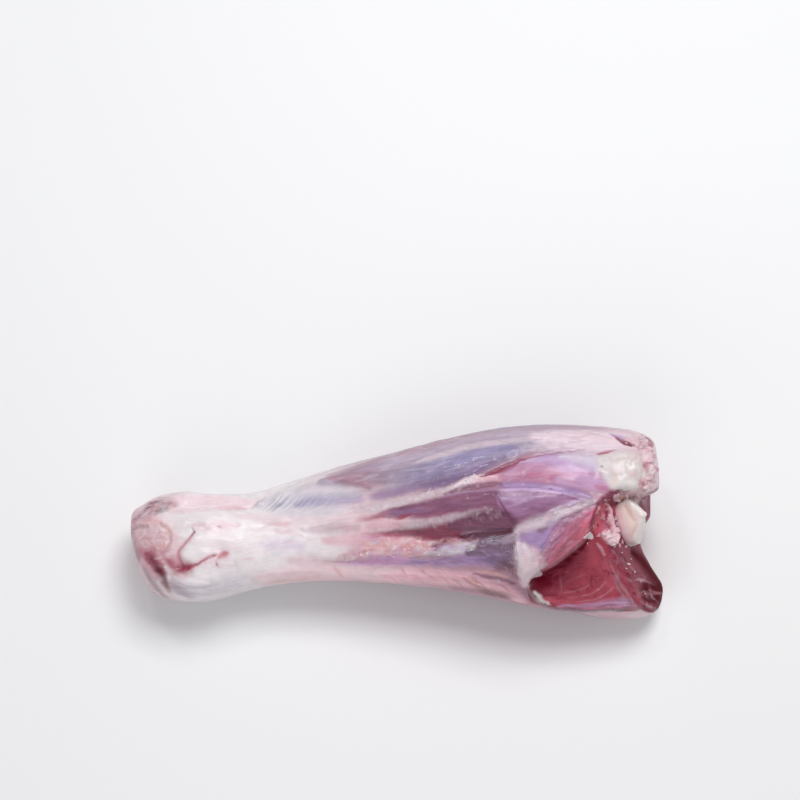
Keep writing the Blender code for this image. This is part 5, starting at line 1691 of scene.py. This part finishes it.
class SHANK_OT_stage(bpy.types.Operator):
    """Sets the pale floor, the soft lights and the photograph's camera"""

    bl_idname = "shank.stage"
    bl_label = "Stage"

    def execute(self, context):
        settings = context.scene.shank_stage
        bm = bmesh.new()
        bmesh.ops.create_grid(bm, x_segments=8, y_segments=8, size=settings.floor_side / 2)
        mesh = mesh_from(bm, "floor")
        floor = new_piece("floor", mesh)
        mesh.materials.append(matt_floor(settings.floor_colour))
        for name, power, size, place in (
            ("key_light", settings.key, 0.45, (0.2, 0.45, 0.95)),
            ("fill_light", settings.fill, 0.9, (-0.35, -0.8, 0.65)),
            ("glint_light", settings.glint, 0.1, (-0.25, 0.5, 0.85)),
        ):
            light = bpy.data.lights.new(name, "AREA")
            light.energy = power
            light.size = size
            lamp = bpy.data.objects.new(name, light)
            lamp.location = place
            lamp.rotation_euler = Vector(place).to_track_quat("Z", "Y").to_euler()
            context.scene.collection.objects.link(lamp)
        world = bpy.data.worlds.new("studio")
        world.use_nodes = True
        sky = world.node_tree.nodes["Background"]
        sky.inputs["Color"].default_value = (*linear("#fafbfd"), 1)
        sky.inputs["Strength"].default_value = settings.sky
        context.scene.world = world
        context.scene.view_settings.view_transform = "Standard"
        lens = bpy.data.cameras.new("camera")
        lens.lens = LENS
        lens.sensor_width = SENSOR
        camera = bpy.data.objects.new("camera", lens)
        camera.location = EYE
        camera.rotation_euler = BACK.to_track_quat("Z", "Y").to_euler()
        context.scene.collection.objects.link(camera)
        context.scene.camera = camera
        return {"FINISHED"}


class SHANK_OT_body(bpy.types.Operator):
    """Skins and paints the meat from the knuckle to the cut"""

    bl_idname = "shank.body"
    bl_label = "Meat"

    def execute(self, context):
        piece = leg_skin(context.scene.shank_sizes)
        paint_leg(piece, context.scene.shank_sizes, context.scene.shank_tissues)
        piece.data.materials.clear()
        piece.data.materials.append(raw_meat())
        hand_over(piece, "meat", MEAT_NODE)
        return {"FINISHED"}


class SHANK_OT_bone(bpy.types.Operator):
    """Rounds the bone off and gives it wet cartilage"""

    bl_idname = "shank.bone"
    bl_label = "Bone"

    def execute(self, context):
        settings = context.scene.shank_sizes
        bm = merged_copy(BONE_NODE)
        soft_creases(bm, math.radians(30), 0.6)
        piece = new_piece("bone_and_cartilage", mesh_from(bm, "bone_and_cartilage"))
        round_off = piece.modifiers.new("Round off", "SUBSURF")
        round_off.levels = round_off.render_levels = 2
        mesh = even_grid(piece, 0.6 * MM, 1)
        skin = Skin(mesh)
        paint = Paint(skin, settings, context.scene.shank_tissues, BONE_TINTS)
        paint.relief += BONE_GROWTH
        for stroke in CARTILAGE.values():
            paint.lay(stroke, skin.seen)
        paint.finish(settings.relief, settings.sheen)
        mesh.materials.clear()
        mesh.materials.append(wet_cartilage())
        hand_over(piece, "bone", BONE_NODE)
        return {"FINISHED"}


class SHANK_OT_torn_skins(bpy.types.Operator):
    """Lays the torn thin skins over the meat"""

    bl_idname = "shank.torn_skins"
    bl_label = "Torn skins"

    def execute(self, context):
        skin, material = painted_body()
        bm = bmesh.new()
        tissues = context.scene.shank_tissues
        under, colours, shares = [], [], []
        for i, torn in enumerate(TORN.values()):
            faces, share = add_torn_skin(bm, skin, torn, context.scene.shank_sizes.seed + i)
            under += faces
            shares += share
            colours += [getattr(tissues, torn.tissue)[:]] * len(faces)
        bmesh.ops.recalc_face_normals(bm, faces=bm.faces)
        mesh = mesh_from(bm, "torn_skins")
        carry_looks(mesh, skin, under, np.array(colours), np.array(shares)[:, None])
        mesh.shade_smooth()
        mesh.materials.append(material)
        hand_over(new_piece("torn_skins", mesh), "meat")
        return {"FINISHED"}


class SHANK_OT_crumbs(bpy.types.Operator):
    """Strews the crumbs of fat along the seams and over the torn ends"""

    bl_idname = "shank.crumbs"
    bl_label = "Fat crumbs"

    def execute(self, context):
        skin, material = painted_body()
        uneven = np.random.default_rng(context.scene.shank_sizes.seed)
        spots, sizes, turns, under = [], [], [], []
        for crumbs in CRUMBS.values():
            rows = smooth_rows(crumbs.points, 12)
            for _ in range(crumbs.count):
                row = rows[uneven.integers(len(rows))]
                shift = uneven.normal(0, 0.5, 2) * row[2] / (PIXEL_SLOPE * DISTANCE / MM)
                spot, normal, face = skin.struck(row[0] + shift[0], row[1] + shift[1])
                width = uneven.uniform(crumbs.least, crumbs.most)
                size = width * uneven.uniform(0.65, 1.4, 3)
                size[2] = 0.55 * width
                spots.append(spot - normal * width * CRUMB_SINK * MM)
                sizes.append(size * MM)
                turns.append((normal.to_track_quat("Z", "Y").to_euler()[:2]) + (uneven.uniform(0, math.tau),))
                under.append(face)
        mesh = points_mesh("fat_crumbs", spots)
        set_attribute(mesh, "size", "FLOAT_VECTOR", np.array(sizes))
        set_attribute(mesh, "turn", "FLOAT_VECTOR", np.array(turns))
        carry_looks(mesh, skin, under, context.scene.shank_tissues.tendon_pink, 0.55)
        looks = {"Unevenness": 0.9 * MM, "Grain": 900.0, "Sides": 3}
        piece = grown_piece("fat_crumbs", mesh, lump_tree(material), **looks)
        hand_over(piece, "meat")
        return {"FINISHED"}


class SHANK_OT_fibres(bpy.types.Operator):
    """Lays the fine loose fibres on the meat"""

    bl_idname = "shank.fibres"
    bl_label = "Loose fibres"

    def execute(self, context):
        skin, material = painted_body()
        uneven = np.random.default_rng(context.scene.shank_sizes.seed + 1)
        lines = [smooth_rows(points, 5) for points in FIBRES]
        for centre, spread, count, lengths, slope in STRAY_FIBRES.values():
            for _ in range(count):
                start = np.array(centre) + uneven.uniform(-1, 1, 2) * spread
                angle = slope + uneven.normal(0, 0.25)
                length = uneven.uniform(*lengths)
                bend = uneven.normal(0, 0.25) * length
                share = np.linspace(-0.5, 0.5, 9)
                along = np.array([math.cos(angle), math.sin(angle)])
                across = np.array([-along[1], along[0]])
                arch = np.outer((0.25 - share**2) * bend, across)
                lines.append(start + np.outer(share * length, along) + arch)
        spots, sizes, under, edges = [], [], [], []
        for line in lines:
            for i, pixel in enumerate(line):
                spot, normal, face = skin.struck(*pixel)
                rise = math.sin(math.pi * i / (len(line) - 1))
                if i:
                    edges.append((len(spots) - 1, len(spots)))
                spots.append(spot + normal * (0.05 + 0.35 * rise) * MM)
                sizes.append((0.35 + 0.65 * rise, 1, 1))
                under.append(face)
        mesh = points_mesh("loose_fibres", spots, edges)
        set_attribute(mesh, "size", "FLOAT_VECTOR", np.array(sizes))
        carry_looks(mesh, skin, under, context.scene.shank_tissues.tendon_white, 0.4)
        piece = grown_piece("loose_fibres", mesh, fibre_tree(material), Radius=FIBRE_RADIUS * MM, Sides=5)
        hand_over(piece, "meat")
        return {"FINISHED"}


class SHANK_OT_juice(bpy.types.Operator):
    """Sets the wet beads of juice on the cut"""

    bl_idname = "shank.juice"
    bl_label = "Juice"

    def execute(self, context):
        skin, _ = painted_body()
        spots, sizes, turns = [], [], []
        for x, y, width in BEADS:
            spot, normal, _ = skin.struck(x, y)
            spots.append(spot)
            sizes.append((width * 0.5 * MM, width * 1.7 * MM, width * 0.25 * MM))
            turns.append(normal.to_track_quat("Z", "Y").to_euler()[:])
        mesh = points_mesh("juice_beads", spots)
        set_attribute(mesh, "size", "FLOAT_VECTOR", np.array(sizes))
        set_attribute(mesh, "turn", "FLOAT_VECTOR", np.array(turns))
        looks = {"Unevenness": 0.25 * MM, "Grain": 700.0, "Sides": 3}
        piece = grown_piece("juice_beads", mesh, lump_tree(juice_with_painted_glint()), **looks)
        hand_over(piece, "meat")
        return {"FINISHED"}


OPERATORS = (
    SHANK_OT_stage,
    SHANK_OT_body,
    SHANK_OT_bone,
    SHANK_OT_torn_skins,
    SHANK_OT_crumbs,
    SHANK_OT_fibres,
    SHANK_OT_juice,
)


class SHANK_PT_panel(bpy.types.Panel):
    """Lists the shank's pieces in the sidebar"""

    bl_idname = "SHANK_PT_panel"
    bl_label = "Raw Lamb Shank"
    bl_space_type = "VIEW_3D"
    bl_region_type = "UI"
    bl_category = "Lamb Shank"

    def draw(self, context):
        for operator in OPERATORS:
            self.layout.operator(operator.bl_idname)
        for group in (context.scene.shank_sizes, context.scene.shank_stage, context.scene.shank_tissues):
            for name in group.__annotations__:
                self.layout.prop(group, name)


GROUPS = {"shank_tissues": TissueColours, "shank_sizes": ShankSizes, "shank_stage": StageSettings}


def register():
    for group in GROUPS.values():
        bpy.utils.register_class(group)
    for name, group in GROUPS.items():
        setattr(bpy.types.Scene, name, PointerProperty(type=group))
    for made in (*OPERATORS, SHANK_PT_panel):
        bpy.utils.register_class(made)


def unregister():
    for made in reversed((*OPERATORS, SHANK_PT_panel)):
        bpy.utils.unregister_class(made)
    for name, group in GROUPS.items():
        delattr(bpy.types.Scene, name)
        bpy.utils.unregister_class(group)


def main():
    """Builds the stage and every piece."""
    register()
    bpy.ops.shank.stage()
    bpy.ops.shank.body()
    bpy.ops.shank.bone()
    bpy.ops.shank.torn_skins()
    bpy.ops.shank.crumbs()
    bpy.ops.shank.fibres()
    bpy.ops.shank.juice()


if __name__ == "__main__":
    main()
